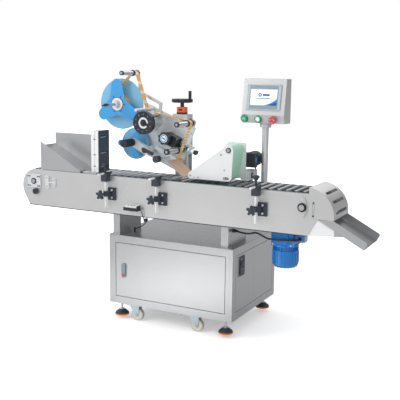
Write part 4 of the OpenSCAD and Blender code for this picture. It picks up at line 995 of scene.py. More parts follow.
PALE_BLUE = Finish("pale_blue_lens", "#7fbccb", 0.2, 0.0, EVEN, 300, 0.1, 0.05, 0.02, 0.4)
BUTTON_WHITE = Finish("white_lens", "#f3f6f6", 0.2, 0.0, EVEN, 300, 0.1, 0.02, 0.01, 0.4)
BEZEL = Finish("screen_bezel", "#b9c3c7", 0.42, 0.0, EVEN, 1200, 0.5, 0.04, 0.03)
BEZEL_DARK = Finish("screen_frame", "#8a9ba5", 0.36, 0.0, EVEN, 1200, 0.3, 0.04, 0.03)
STRIP = Finish("wear_strip", "#3f6b52", 0.5, 0.0, ALONG_X, 500, 0.4, 0.06, 0.06)


@dataclass
class Studio:
    """Camera at the photograph's view, pale floor and soft lamps."""

    eye: Triple = (2.0365, -3.9203, 1.5013)
    yaw: float = 27.203
    pitch: float = 10.092
    roll: float = 0.634
    lens: float = 68.47
    sensor: float = 36.0
    clip: Pair = (0.05, 100.0)
    floor_half: float = 14.0
    floor_rough: float = 0.9
    floor_grain: float = 3.0
    aim: Triple = (0.0, 0.0, 0.7)
    lamps: tuple[tuple[Triple, float, float], ...] = (
        ((-3.2, -4.2, 3.6), 2.4, 95.0),
        ((3.8, -3.2, 3.0), 2.0, 30.0),
        ((0.5, 3.4, 3.6), 2.6, 26.0),
    )
    pool: tuple[Triple, float, float] = ((-0.35, -1.35, 2.6), 34.0, 160.0)
    pool_softness: float = 0.3
    # A painted pool of light: a floor spot that glows for reflections only.
    painted_pool_spot: Triple = (-0.3, -1.15, 0.0)
    painted_pool_reach: Pair = (0.1, 1.15)
    painted_pool_glow: float = 1.1
    glow_reach: Pair = (1.2, 5.5)
    near_glow: float = 0.34
    far_glow: float = 0.75
    sky_level: float = 0.26
    sky_left: Triple = (0.05, 0.75, 0.55)
    sky_top: Triple = (0.05, 0.9, 0.45)
    sky_front: Triple = (0.86, 0.985, 0.75)
    sky_front_way: Triple = (0.42, 0.9, 0.12)
    sky_blue: float = 1.02

    def camera(self) -> None:
        """Sets the camera."""
        yaw, pitch, roll = (math.radians(a) for a in (self.yaw, self.pitch, self.roll))
        ahead = Vector(
            (-math.sin(yaw) * math.cos(pitch), math.cos(yaw) * math.cos(pitch), -math.sin(pitch))
        )
        right = Vector((math.cos(yaw), math.sin(yaw), 0.0))
        up = right.cross(ahead)
        across = right * math.cos(roll) + up * math.sin(roll)
        rise = up * math.cos(roll) - right * math.sin(roll)
        data = bpy.data.cameras.new("camera")
        data.lens, data.sensor_width = self.lens, self.sensor
        data.clip_start, data.clip_end = self.clip
        made = linked("camera", data)
        rows = [[across[i], rise[i], -ahead[i], self.eye[i]] for i in range(3)]
        made.matrix_world = Matrix(rows + [[0.0, 0.0, 0.0, 1.0]])
        bpy.context.scene.camera = made
        bpy.context.scene.view_settings.view_transform = "Standard"

    def floor(self) -> None:
        """Lays the pale floor, which the camera sees a little lighter than it is."""
        data = bpy.data.meshes.new("floor")
        h = self.floor_half
        data.from_pydata([(-h, -h, 0), (h, -h, 0), (h, h, 0), (-h, h, 0)], [], [(0, 1, 2, 3)])
        made = linked("floor", data)
        cover = bpy.data.materials.new("floor_paint")
        cover.use_nodes = True
        graph = Graph(cover.node_tree)
        path = graph.node("ShaderNodeLightPath", output="Is Camera Ray")
        place = graph.node("ShaderNodeTexCoord", output="Object")
        grain = graph.noise(place, self.floor_grain)
        tone = graph.mix(grain, linear("#fafafa"), linear("#ffffff"))
        # Reflections see the floor darker than it is: painted shade.
        gloss = graph.node("ShaderNodeLightPath", output="Is Glossy Ray")
        tone = graph.mix(gloss, tone, linear("#cccccc"))
        # The floor spot glows for glossy rays only: a painted pool of light.
        apart = graph.vector("DISTANCE", place, self.painted_pool_spot)
        apart = Value(graph, apart.socket.node.outputs["Value"])
        bright = gloss * (1.0 - apart.ramp(*self.painted_pool_reach)) * self.painted_pool_glow
        shine = graph.node("ShaderNodeCombineColor", {}, {0: bright, 1: bright, 2: bright})
        away = graph.node("ShaderNodeVectorMath", {"operation": "LENGTH"}, {0: place}, output=1)
        near, far = ((g, g, g, 1.0) for g in (self.near_glow, self.far_glow))
        glow = graph.mix(path, shine, graph.mix(away.ramp(*self.glow_reach), near, far))
        graph.surface(
            {
                "Base Color": tone,
                "Roughness": self.floor_rough,
                "Emission Color": glow,
                "Emission Strength": 1.0,
            }
        )
        data.materials.append(cover)

    def light(self) -> None:
        """Hangs the lamps and sets the sky: white where it is seen, soft where it lights."""
        for i, (place, size, power) in enumerate(self.lamps):
            data = bpy.data.lights.new(f"lamp_{i}", "AREA")
            data.size, data.energy = size, power
            made = linked(f"lamp_{i}", data)
            made.location = place
            towards = Vector(self.aim) - Vector(place)
            made.rotation_euler = towards.to_track_quat("-Z", "Y").to_euler()
        place, angle, power = self.pool
        data = bpy.data.lights.new("floor_pool", "SPOT")
        data.energy, data.spot_size, data.spot_blend = power, math.radians(angle), 1.0
        data.shadow_soft_size = self.pool_softness
        made = linked("floor_pool", data)
        made.location = place
        world = bpy.data.worlds.new("studio")
        bpy.context.scene.world = world
        world.use_nodes = True
        graph = Graph(world.node_tree)
        seen = graph.node("ShaderNodeLightPath", output="Is Camera Ray")
        way = graph.node("ShaderNodeTexCoord", output="Generated")
        x, y, z = (graph.node("ShaderNodeSeparateXYZ", {}, {0: way}, output=i) for i in range(3))
        kx, ky, kz = self.sky_front_way
        level: Number = self.sky_level
        for source, (low, high, strength) in (
            (0.0 - x, self.sky_left),
            (z, self.sky_top),
            (x * kx - y * ky + z * kz, self.sky_front),
        ):
            level = level + source.ramp(low, high) * strength
        blue = level * self.sky_blue
        lit = graph.node("ShaderNodeCombineColor", {}, {0: level, 1: level, 2: blue})
        colour = graph.mix(seen, lit, (1.0, 1.0, 1.0, 1.0))
        sky = graph.node("ShaderNodeBackground", {}, {"Color": colour, "Strength": 1.0})
        graph.node("ShaderNodeOutputWorld", {}, {"Surface": sky})


@dataclass
class Cords:
    """The gear motor's cable and the label sensor's cable with its inline connector."""

    motor_route: tuple[Triple, ...] = (
        (760, 92, 498), (772, 92, 498), (790, 87, 497), (815, 78, 496), (849, 66, 497),
        (875, 62, 501), (900, 61, 508), (925, 61, 505), (955, 61, 492), (985, 61, 484),
        (1040, 61, 484), (1090, 62, 488), (1118, 72, 489), (1134, 88, 488), (1138, 104, 488),
        (1138, 124, 488),
    )
    sensor_route: tuple[Triple, ...] = (
        (202, 0, 580), (208, 0, 580), (214, 2, 574), (217, 6, 562), (220, 10, 548),
        (223, 13, 534), (224, 20, 521), (222, 34, 516), (205, 80, 494), (162, 118, 462),
        (112, 142, 436), (86, 151, 427), (80, 152, 422), (80, 152, 414),
    )
    motor_radius: float = 5.0
    sensor_radius: float = 2.5
    plug_low: Triple = (213, 33, 501)
    plug_high: Triple = (229, 59, 519)
    grip_count: int = 4
    grip_start: float = 3.0
    grip_pitch: float = 2.4
    grip_width: float = 1.2
    grip_rise: float = 0.6
    gland: tuple[Pair, ...] = (
        (0, 0), (11, 0), (11, 5), (9.6, 6), (9.6, 11), (8.2, 13), (6.3, 26), (0, 26),
    )
    sensor_gland: tuple[Pair, ...] = ((0, 0), (6, 0), (6, 3), (4.8, 4), (3.6, 20), (0, 20))

    @staticmethod
    def curve(route: Sequence[Triple], steps: int = 4) -> list[Vector]:
        """Smooth path through a route's points."""
        p = [Vector(q) for q in route]
        made: list[Vector] = []
        for i in range(len(p) - 1):
            a, b, c, d = p[max(i - 1, 0)], p[i], p[i + 1], p[min(i + 2, len(p) - 1)]
            for k in range(steps):
                t = k / steps
                bend = (2 * a - 5 * b + 4 * c - d) * t * t
                made.append(0.5 * (2 * b + (c - a) * t + bend + (3 * b - a - 3 * c + d) * t**3))
        return made + [p[-1]]

    def lay(
        self, name: str, route: Sequence[Triple], radius: float
    ) -> Object:
        """Args:
            name: the cord's name.
            route: points of its centre line.
            radius: half its thickness.

        Returns:
            The cord.
        """
        path = self.curve(route)
        solid = Solid().sweep(path, [radius] * len(path))
        piece = solid.piece(name, "machine", "cable_black", CABLE)
        points = [metres(p) for p in path]
        return piece

    def build(self) -> None:
        """Makes both cords, the connector and the strain reliefs."""
        low, high, rise = self.plug_low, self.plug_high, self.grip_rise
        plug = Solid().block(low, high, 1.5, 3.0)
        for k in range(self.grip_count):
            y = low[1] + self.grip_start + self.grip_pitch * k
            foot = (low[0] - rise, y, low[2] - rise)
            plug.block(foot, (high[0] + rise, y + self.grip_width, high[2] + rise), 0.4, 3.0)
        connector = plug.piece("sensor_connector", "machine", "cable_black", BLACK)
        motor = self.lay("motor_cable", self.motor_route, self.motor_radius)
        self.lay("sensor_cable", self.sensor_route, self.sensor_radius)
        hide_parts("cables")
        glands = Solid()
        glands.turned(self.gland, facing_right(*self.motor_route[0]), 20)
        glands.turned(self.gland, facing_front(*self.motor_route[-1]), 20)
        glands.turned(self.sensor_gland, upright(*self.sensor_route[-1]), 16)
        glands.piece("cable_glands", "machine", "cable_black", RUBBER)


class SubAssembly:
    """Part of the machine that dresses its nodes and adds pieces and screws to them."""

    def dress(self) -> None:
        """Gives the nodes their finishes."""
        raise NotImplementedError

    def build(self) -> None:
        """Adds the pieces."""
        raise NotImplementedError

    def screws(self, pattern: ScrewPattern) -> None:
        """Sets no screws, unless a sub-assembly has its own."""


@dataclass
class Cabinet(SubAssembly):
    """Steel cabinet on levelling feet and castors, with its door latch and power inlet."""

    inlet_corner: Triple = (804.0, 116.0, 242.0)
    inlet_body: tuple[Plate, ...] = (
        Plate((-27, 12), (27, 52), 5, -0.5, 2.5, 1.0),
        Plate((-20, 58), (20, 82), 3, -0.5, 3.0, 1.0),
        Plate((-22, 16), (22, 26), 2, 2.0, 3.4, 0.5),
    )
    inlet_rocker: Plate = Plate((-14, 61), (14, 79), 2, 2.5, 6.0, 1.4)
    inlet_marks: tuple[Plate, ...] = (
        *(Plate((-5, up), (5, up + 2), 0.9, 5.8, 6.5, 0.2) for up in (64, 74)),
        *(Plate((across - 2, 34), (across + 2, 42), 0.9, 2.2, 3.2, 0.2) for across in (-10, 0, 10)),
        Plate((-14, 20), (14, 22), 0.9, 3.2, 3.9, 0.2),
    )
    inlet_screws: tuple[Pair, Pair] = ((82, 150), (248, 348))
    top_screws: tuple[Pair, Pair] = ((28, 772), (28, 594))
    top_z: float = 414.0
    castors: tuple[Pair, ...] = ((154, 45), (154, 577), (552, 45), (552, 577))
    castor_nut: Ring = Ring(0, 7.5, 5, 1.1, 1)
    nut_reach: float = 20.5
    trail: float = 14.0
    axle_z: float = -64.5
    hub_radius: float = 28.5
    bolt_radius: float = 8.0

    def dress(self) -> None:
        """Gives the cabinet's nodes their finishes."""
        dress("cabinet_frame", STEEL_UP, (Block((42, None, None), (758, None, 42)), STEEL))
        # The top panel under the track gets the darker bench steel: painted shade.
        bench, inlet = Block((None, None, 410)), Block((802.5, None, None))
        dress("cabinet_panels", STEEL_UP, (bench, BENCH_SHADE_STEEL), (inlet, INLET_BLACK))
        dress("cabinet_door", STEEL)
        dress("latch_handle", LATCH_GREY, (Block((None, -0.2, None)), ZINC))
        dress("latch_button", RED)
        dress("levelling_feet", DOME, (Block((None, None, -48)), ZINC))
        dress("foot_pads", PAD_RUBBER)
        for i, (x, y) in enumerate(self.castors):
            dress(f"castor_fork_{i + 1}", ZINC)
            hub = Round(Across.Y, (x + self.trail, self.axle_z), self.hub_radius)
            bolt = Round(Across.Y, (x + self.trail, self.axle_z), self.bolt_radius)
            dress(f"castor_wheel_{i + 1}", TYRE, (hub, WHEEL), (bolt, ZINC))

    def build(self) -> None:
        """Builds the power inlet's socket, switch and contacts, and the castors' axle nuts."""
        place = facing_right(*self.inlet_corner)
        for name, finish, plates in (
            ("inlet_socket", SATIN_BLACK, self.inlet_body),
            ("inlet_switch", BLACK, (self.inlet_rocker,)),
            ("inlet_contacts", LATCH_GREY, self.inlet_marks),
        ):
            Solid().plates(place, *plates).piece(name, "machine", "latch_black", finish)
        for i, (x, y) in enumerate(self.castors):
            made = Solid()
            for side, facing in ((-1, facing_front), (1, facing_back)):
                spot = facing(x + self.trail, y + side * self.nut_reach, self.axle_z)
                made.rings(spot, self.castor_nut, sides=6)
            made.piece(f"castor_nuts_{i + 1}", f"castor_{i + 1}", "castor_steel", ZINC)

    def screws(self, pattern: ScrewPattern) -> None:
        """Sets the inlet plate's and the top panel's screws."""
        x = self.inlet_corner[0]
        ys, zs = self.inlet_screws
        places: list[Screw] = [((x, y, z), TO_RIGHT, 3.0) for y in ys for z in zs]
        xs, ys = self.top_screws
        places += [((x, y, self.top_z), UPWARDS, 5.0) for x in xs for y in ys]
        pattern.set_screws("cabinet_screws", "machine", ZINC, places)


@dataclass
class Track(SubAssembly):
    """Roller track between two side plates, its shafts, bearings, hood, chute and gear motor."""

    idler: Pair = (-563.0, 682.0)
    drive: Pair = (1181.0, 682.0)
    pinion: Pair = (1047.0, 487.0)
    chain_radius: float = 66.0
    pinion_radius: float = 29.5
    chain_ys: Pair = (37.0, 248.0)
    short_chain_y: float = 256.0
    arc_steps: int = 24
    pitch: float = 19.05
    link_height: float = 14.6
    link_width: float = 5.8
    plate_share: float = 0.2
    plate_shift_share: float = 0.4
    pin_share: float = 0.36
    pin_length_share: float = 0.9
    link_length_share: float = 0.86
    narrow_share: float = 0.38
    motor: Pair = (1047.0, 150.0)
    fin_sets: tuple[tuple[str, int, float, Triple, float, Finish], ...] = (
        ("motor_fins", 28, 66.0, (9.0, 2.4, 24.0), 431.0, MOTOR_BLUE),
        ("fan_cover_ribs", 20, 70.6, (4.4, 5.0, 62.0), 380.0, MOTOR_BLUE),
        ("fan_cover_slots", 20, 63.0, (3.0, 3.0, 30.0), 339.0, INLET_BLACK),
    )
    flange: tuple[Pair, ...] = ((0, 0), (69, 0), (70, 2), (70, 9), (68, 11), (0, 11))
    flange_z: float = 439.0
    gear_z: float = 488.0
    gear_cover: Ring = Ring(0, 43, 5, 2, 5)
    gear_cover_y: float = 88.2
    gear_cap: Ring = Ring(0, 16, 4, 2, 4)
    gear_cap_y: float = 84.5
    gear_screws: Triple = (52, 88, 34)
    lid: Plate = Plate((-29, -24), (29, 24), 5, 0, 5, 1.5)
    lid_place: Triple = (1136, 120.5, 499)
    seal: tuple[Pair, ...] = ((15.4, 0), (24, 0), (24, 5.5), (22.5, 7), (17, 7), (15.4, 6))
    seal_ys: Pair = (11.2, 273.8)
    idler_seal: Ring = Ring(12.6, 19, 3, 1.4, 0.8)
    knob_place: Triple = (-551, 20, 619)
    knob_radii: Pair = (18.5, 16.9)
    knob_corners: int = 28
    knob_foot: Ring = Ring(0, 12, 4.5)
    knob_grip: tuple[Pair, ...] = ((-3, -13), (3, -13), (3, 13), (-3, 13))
    slot: Triple = (6, 40, 2.6)
    slot_rise: float = 0.8
    slot_place: Pair = (1240, 675)
    bearing_faces: Pair = (11.0, 274.0)
    hood_faces: Pair = (16.0, 269.0)
    plate_faces: Pair = (20.0, 265.0)

    def dress(self) -> None:
        """Gives the track's nodes their finishes."""
        dress("pedestals", STEEL_UP)
        # Painted shade: a black line along the side plates' lowest edge stands for the shade under
        # their folded bottom flange, and a darker band along their top edge is painted shade too.
        bottom = Block((-612, None, None), (None, None, 534.5))
        top = Block((-500, None, 754), (1214, None, None))
        dress("side_plates", PLATE_STEEL, (bottom, SATIN_BLACK), (top, PAINTED_SHADE_STEEL))
        dress("chain_bed", PLAIN_STEEL, (Block((None, None, 727)), STRIP))
        dress("track_rollers", ROLLER_STEEL, (Block(high=(None, 46, None)), BLACK))
        dress("drive_shaft", TURNED_STEEL)
        dress("idler_shaft", TURNED_STEEL)
        dress("shaft_bearings", PLATE_STEEL, (Block(high=(-350, None, None)), PALE_METAL))
        dress("end_hood", PLATE_STEEL)
        dress(
            "chute",
            STEEL,
            # Painted shade on the chute's floor between its walls.
            (Slab((1263, 625), (1511, 493), 3.5, 19.5, 266), PAINTED_SHADE_STEEL),
            (Block((None, 23.9, None), (1352, 27.1, None)), WHITE),
            (Block((None, 257.9, None), (1352, 261.1, None)), WHITE),
        )
        dress(
            "gear_motor",
            MOTOR_BLUE,
            (Block((1110, 120, 466), (1160, 180, None)), MOTOR_PALE),
            (Block((1154, 120, 466), (None, 180, None)), ALUMINIUM),
            (Block((None, 213, None)), PLAIN_STEEL),
        )

    def loop(self, a: Pair, b: Pair, radius: float, y: float) -> list[Vector]:
        """Points round two equal sprockets.

        Args:
            a: centre of the left or lower sprocket.
            b: centre of the other.
            radius: pitch radius of both.
            y: depth of the loop.

        Returns:
            The points, without the first at the end.
        """
        ahead = Vector((b[0] - a[0], b[1] - a[1])).normalized()
        side = math.atan2(ahead.y, ahead.x)
        made: list[Vector] = []
        for (x, z), start in ((b, side - math.pi / 2), (a, side + math.pi / 2)):
            for k in range(self.arc_steps + 1):
                t = start + math.pi * k / self.arc_steps
                made.append(Vector((x + radius * math.cos(t), y, z + radius * math.sin(t))))
        return made

    def chain_tree(self) -> PatternTree:
        """Tree that sets chain links along a path, every second one between the others' plates."""
        sizes = ("Pitch", "Height", "Width")
        tree = PatternTree("chain_on_loop", [(name, "NodeSocketFloat") for name in sizes])
        pitch, height, width = (tree.take(name) for name in sizes)

        def times(a: Any, b: Any) -> Node:
            """Product of two numbers."""
            return tree.calc("MULTIPLY", a, b)

        def bar(radius: Any, depth: Any, sides: int, stretch: Any, shift: Any) -> Node:
            """Round bar along Y, stretched along X and moved along Y."""
            round_bar = {"Vertices": sides, "Radius": radius, "Depth": depth}
            made = tree.node("GeometryNodeMeshCylinder", {}, round_bar)
            lying = {"Geometry": made, "Rotation": (math.pi / 2, 0.0, 0.0)}
            turned = tree.node("GeometryNodeTransform", {}, lying)
            scale = tree.combined(stretch, 1.0, 1.0)
            move = tree.combined(0.0, shift, 0.0)
            set_off = {"Geometry": turned, "Scale": scale, "Translation": move}
            return tree.node("GeometryNodeTransform", {}, set_off)

        half = times(height, 0.5)
        thin = times(width, self.plate_share)
        stretch = tree.calc("DIVIDE", times(pitch, self.link_length_share), half)
        shift = self.plate_shift_share
        parts = [bar(half, thin, 10, stretch, times(width, s)) for s in (shift, -shift)]
        pin = times(height, self.pin_share)
        parts.append(bar(pin, times(width, self.pin_length_share), 8, 1.0, 0.0))
        link = tree.node("GeometryNodeJoinGeometry", {}, {0: parts})
        path = {"Curve": tree.take("Geometry"), "Length": pitch}
        spaced = tree.node("GeometryNodeResampleCurve", {"mode": "LENGTH"}, path)
        turn = tree.aligned("X", tree.node("GeometryNodeInputTangent"), "Y")
        odd = tree.calc("MODULO", tree.node("GeometryNodeInputIndex"), 2.0)
        narrow = tree.calc("SUBTRACT", 1.0, times(odd, self.narrow_share))
        placing = {
            "Points": spaced,
            "Instance": link,
            "Rotation": turn,
            "Scale": tree.combined(1.0, narrow, 1.0),
        }
        tree.end(tree.node("GeometryNodeInstanceOnPoints", {}, placing))
        return tree

    def chains(self) -> None:
        """Sets the links of both track chains and of the motor's short chain."""
        data = bpy.data.curves.new("chain_paths", "CURVE")
        data.dimensions = "3D"
        loops = [self.loop(self.idler, self.drive, self.chain_radius, y) for y in self.chain_ys]
        loops.append(self.loop(self.pinion, self.drive, self.pinion_radius, self.short_chain_y))
        for points in loops:
            spline = data.splines.new("POLY")
            spline.points.add(len(points) - 1)
            spline.points.foreach_set("co", [c for p in points for c in (*metres(p), 1.0)])
            spline.use_cyclic_u = True
        base = linked("chain_paths", data)
        cover = plain(PLAIN_STEEL)
        sizes = {"Pitch": self.pitch, "Height": self.link_height, "Width": self.link_width}
        values = {name: size * MM for name, size in sizes.items()}
        made = self.chain_tree().bake(base, {**values, "Finish": cover})
        piece = set_down(made, "chain_links", "machine", cover)
        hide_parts("track_chains")

    def fins(self) -> None:
        """Sets the gear motor's cooling fins and its fan cover's ribs and slots."""
        kinds = {"Count": "Int", "Radius": "Float", "Fin size": "Vector", "Centre": "Vector"}
        tree = PatternTree("fins_round_body", [(n, "NodeSocket" + k) for n, k in kinds.items()])
        circle = {"Vertices": tree.take("Count"), "Radius": tree.take("Radius")}
        ring = tree.node("GeometryNodeMeshCircle", {}, circle)
        fin = tree.node("GeometryNodeMeshCube", {}, {"Size": tree.take("Fin size")})
        turn = tree.aligned("X", tree.node("GeometryNodeInputPosition"), "Z")
        placing = {"Points": ring, "Instance": fin, "Rotation": turn}
        placed = tree.node("GeometryNodeInstanceOnPoints", {}, placing)
        moving = {"Geometry": placed, "Translation": tree.take("Centre")}
        tree.end(tree.node("GeometryNodeTransform", {}, moving))
        for name, count, radius, size, z, finish in self.fin_sets:
            cover = plain(finish)
            base = linked(name + "_base", bpy.data.meshes.new(name + "_base"))
            values = {
                "Count": count,
                "Radius": radius * MM,
                "Fin size": [s * MM for s in size],
                "Centre": list(metres((*self.motor, z))),
                "Finish": cover,
            }
            set_down(tree.bake(base, values), name, "machine", cover)

    def motor_trim(self) -> None:
        """Builds the flange ring, the gearbox covers and the terminal box's lid."""
        x, y = self.motor
        made = Solid().turned(self.flange, upright(x, y, self.flange_z), 48)
        made.rings(facing_front(x, self.gear_cover_y, self.gear_z), self.gear_cover, sides=40)
        made.rings(facing_front(x, self.gear_cap_y, self.gear_z), self.gear_cap, sides=24)
        made.piece("motor_flange", "machine", "motor_blue", MOTOR_BLUE)
        lid = Solid().plates(facing_front(*self.lid_place), self.lid)
        lid.piece("terminal_lid", "machine", "motor_blue", MOTOR_PALE)

    def bearings(self) -> None:
        """Builds the bearings' dark seals, the left end's release knob and the hood slots' rims."""
        seal = Solid()
        for facing, y in zip((facing_front, facing_back), self.seal_ys):
            seal.turned(self.seal, facing(self.drive[0], y, self.drive[1]), 40)
        x, z = self.idler
        seal.rings(facing_front(x, self.bearing_faces[0], z), self.idler_seal)
        seal.piece("bearing_seals", "machine", "black_part", RUBBER)
        at = facing_front(*self.knob_place)
        lobes: list[Pair] = []
        for k in range(self.knob_corners):
            radius, a = self.knob_radii[k % 2], 2 * math.pi * k / self.knob_corners
            lobes.append((radius * math.cos(a), radius * math.sin(a)))
        knob = Solid().prism(lobes, 4, 20, at, 1.6).rings(at, self.knob_foot, sides=24)
        knob.prism(self.knob_grip, 19.5, 23, at, 0.8)
        knob.piece("release_knob", "machine", "black_part", BLACK)
        rims = Solid()
        half, tall, width = self.slot
        outer, inner = (
            rounded(g - half, g - tall, half - g, tall - g, half - g) for g in (0.0, width)
        )
        for y, facing in zip(self.hood_faces, (facing_front, facing_back)):
            place = facing(self.slot_place[0], y, self.slot_place[1])
            rims.rim(outer, inner, self.slot_rise, place)
        rims.piece("hood_slot_rims", "machine", "panel_steel", PLAIN_STEEL)

    def build(self) -> None:
        """Builds the chains, the gear motor's trim and the small pieces at the shafts."""
        self.chains()
        self.fins()
        self.motor_trim()
        self.bearings()

    def screws(self, pattern: ScrewPattern) -> None:
        """Sets the screws of the bearings, idler plates, hood, side plates and gearbox."""
        places: list[Screw] = []
        pale: list[Screw] = []
        (right, up), left = self.drive, self.idler[0]
        for y, out in zip(self.bearing_faces, (TO_FRONT, TO_BACK)):
            pale += [((right, y, up + s * 41), out, 6.0) for s in (-1, 1)]
            places += [
                ((left + sx * (38 + dx), y, up + sz * 29), out, 4.2)
                for sx in (-1, 1)
                for sz in (-1, 1)
                for dx in (-7, 6)
            ]
        for y, out in zip(self.hood_faces, (TO_FRONT, TO_BACK)):
            places += [((self.slot_place[0], y, z), out, 4.5) for z in (641, 709)]
        for y, out in zip(self.plate_faces, (TO_FRONT, TO_BACK)):
            pale += [((x, y, z), out, 3.6) for x in (-455, 110, 640) for z in (650, 690)]
        rows = ((-462, 26), (-408, 16))
        places += [((x, 10.0, up + s * d), TO_FRONT, 2.8) for s in (-1, 1) for x, d in rows]
        across, y, rise = self.gear_screws
        gear = [
            ((self.motor[0] + sx * across, y, self.gear_z + sz * rise), TO_FRONT, 5.0)
            for sx in (-1, 1)
            for sz in (-1, 1)
        ]
        for name, finish, spots in (
            ("track_screws", INLET_BLACK, places),
            ("plate_screws", PALE_METAL, pale),
            ("gearbox_screws", ZINC, gear),
        ):
            pattern.set_screws(name, "machine", finish, spots)


@dataclass
class Feed(SubAssembly):
    """Hopper walls, the gate column and the dark gate panel with its slots."""

    column: tuple[Triple, Triple] = ((-153, 41, 762.5), (-101.9, 149, 1011))
    slide_low: Pair = (-101.5, 60)
    slide_high: Pair = (-94.6, 118)
    slide_half: float = 2.0
    slot_zs: tuple[float, ...] = (797.7, 878.2, 971.0)
    knob: Ring = Ring(0, 6.5, 5.5, 1.5, 1.5)
    knob_place: Pair = (-96.6, 124)
    notch: Plate = Plate((-9, -2.2), (9, 2.2), 2, 0, 0.8, 0.3)
    notch_place: Pair = (-128, 42.2)
    notch_zs: tuple[float, ...] = (800, 868, 958)

    def dress(self) -> None:
        """Gives the hopper and the gate panel their finishes."""
        # The hopper's sloping floor gets darker steel: painted shade between its walls.
        floor = Slab((-515, 905), (-230, 763), 5.0, 27.6, 171.4)
        dress("feed_hopper", STEEL, (floor, PAINTED_SHADE_STEEL), (Block(*self.column), WHITE))
        dress("gate_panel", GATE_BLACK)

    def build(self) -> None:
        """Builds the silver slides and their knobs on the gate panel, and black plates of painted
        shade in the column's notches.
        """
        slides = Solid()
        for z in self.slot_zs:
            low, high = z - self.slide_half, z + self.slide_half
            slides.block((*self.slide_low, low), (*self.slide_high, high), 0.4)
        slides.piece("gate_slides", "machine", "panel_steel", ALUMINIUM)
        knobs = Solid()
        for z in self.slot_zs:
            knobs.rings(facing_right(*self.knob_place, z), self.knob, sides=20)
        # Black plates in the column's notches: painted shade.
        for z in self.notch_zs:
            knobs.plates(facing_front(*self.notch_place, z), self.notch)
        knobs.piece("gate_knobs", "machine", "black_part", SATIN_BLACK)


@dataclass
class Guides(SubAssembly):
    """Brackets, star knobs and posts along the track's front, and the sensor amplifier."""

    xs: tuple[float, ...] = (-23.0, 318.0, 927.0)
    rod_y: float = -2.5
    rod_radius: float = 6.6
    rod_top: float = 723.5
    cross_z: float = 771.0
    bracket_z: float = 651.0
    screw_spot: Triple = (36.0, 10.0, 22.0)
    screw_radius: float = 6.0
    washer: Ring = Ring(6.2, 10.6, 1.4)
    tee_knob: tuple[Pair, ...] = (
        (0, 0), (10, 0), (13, 4), (13, 8), (19, 15), (19, 22), (15, 25), (0, 25),
    )
    tee_z: float = 806.0
    star_y: float = -48.6
    star_arms: int = 5
    star_arm: tuple[Pair, ...] = (
        (26.8, -0.22), (28.2, 0.0), (26.8, 0.22), (15.6, 0.5), (15.6, 0.76),
    )
    star_hub: Ring = Ring(0, 10, 19, 2, 1.5)
    star_stem: tuple[Pair, ...] = ((5.2, -33), (8.6, -33), (8.6, 1), (5.2, 1))
    tray: Block = Block((116.5, -15, 585), (195.5, 21, None))
    key_low: Triple = (128, -8, 597.6)
    key_size: Triple = (12, 12, 1.4)
    key_pitch: float = 20.0
    key_count: int = 3

    def dress(self) -> None:
        """Gives the guides and the amplifier their finishes."""
        dress("guide_brackets", BLACK)
        r = self.rod_radius
        rods = [
            (Round(Across.Z, (x, self.rod_y), r, None, self.rod_top), POST_METAL) for x in self.xs
        ]
        cross = [(Round(Across.Y, (x, self.cross_z), r, None, -21.8), POST_METAL) for x in self.xs]
        dress("guide_posts", BLACK, *rods, *cross)
        dress("sensor_amplifier", SATIN_BLACK, (self.tray, CREAM))

    def bracket_spots(self) -> list[Triple]:
        """Places of the brackets' screws."""
        across, y, rise = self.screw_spot
        return [(x + across, y, self.bracket_z + s * rise) for x in self.xs for s in (-1, 1)]

    def build(self) -> None:
        """Builds the brackets' washers, the tee and star knobs and the amplifier's keys."""
        washers = Solid()
        for spot in self.bracket_spots():
            washers.rings(facing_front(*spot), self.washer, sides=24)
        washers.piece("bracket_washers", "machine", "shaft_steel", SATIN_BLACK)
        caps = Solid()
        for x in (self.xs[0], self.xs[-1]):
            caps.turned(self.tee_knob, upright(x, self.rod_y, self.tee_z), 24)
        caps.piece("post_knobs", "guides", "black_part", BLACK)
        stars = Solid()
        for x in self.xs:
            arms: list[Pair] = []
            for k in range(self.star_arms):
                a = math.pi / 2 + 2 * math.pi * k / self.star_arms
                arms += [(r * math.cos(a + t), r * math.sin(a + t)) for r, t in self.star_arm]
            at = facing_front(x, self.star_y, self.bracket_z)
            stars.prism(arms, 0, 17, at, 2.4).rings(at, self.star_hub, sides=24)
            stars.turned(self.star_stem, at, 20)
        stars.piece("star_knob_arms", "machine", "black_part", BLACK)
        keys = Solid()
        x, y, z = self.key_low
        for k in range(self.key_count):
            low = (x + self.key_pitch * k, y, z)
            keys.block(low, tuple(a + b for a, b in zip(low, self.key_size)), 0.4)
        keys.piece("amplifier_keys", "machine", "black_part", RUBBER)

    def screws(self, pattern: ScrewPattern) -> None:
        """Sets the brackets' screws."""
        places = [(spot, TO_FRONT, self.screw_radius) for spot in self.bracket_spots()]
        pattern.set_screws("bracket_screws", "machine", PALE_METAL, places)


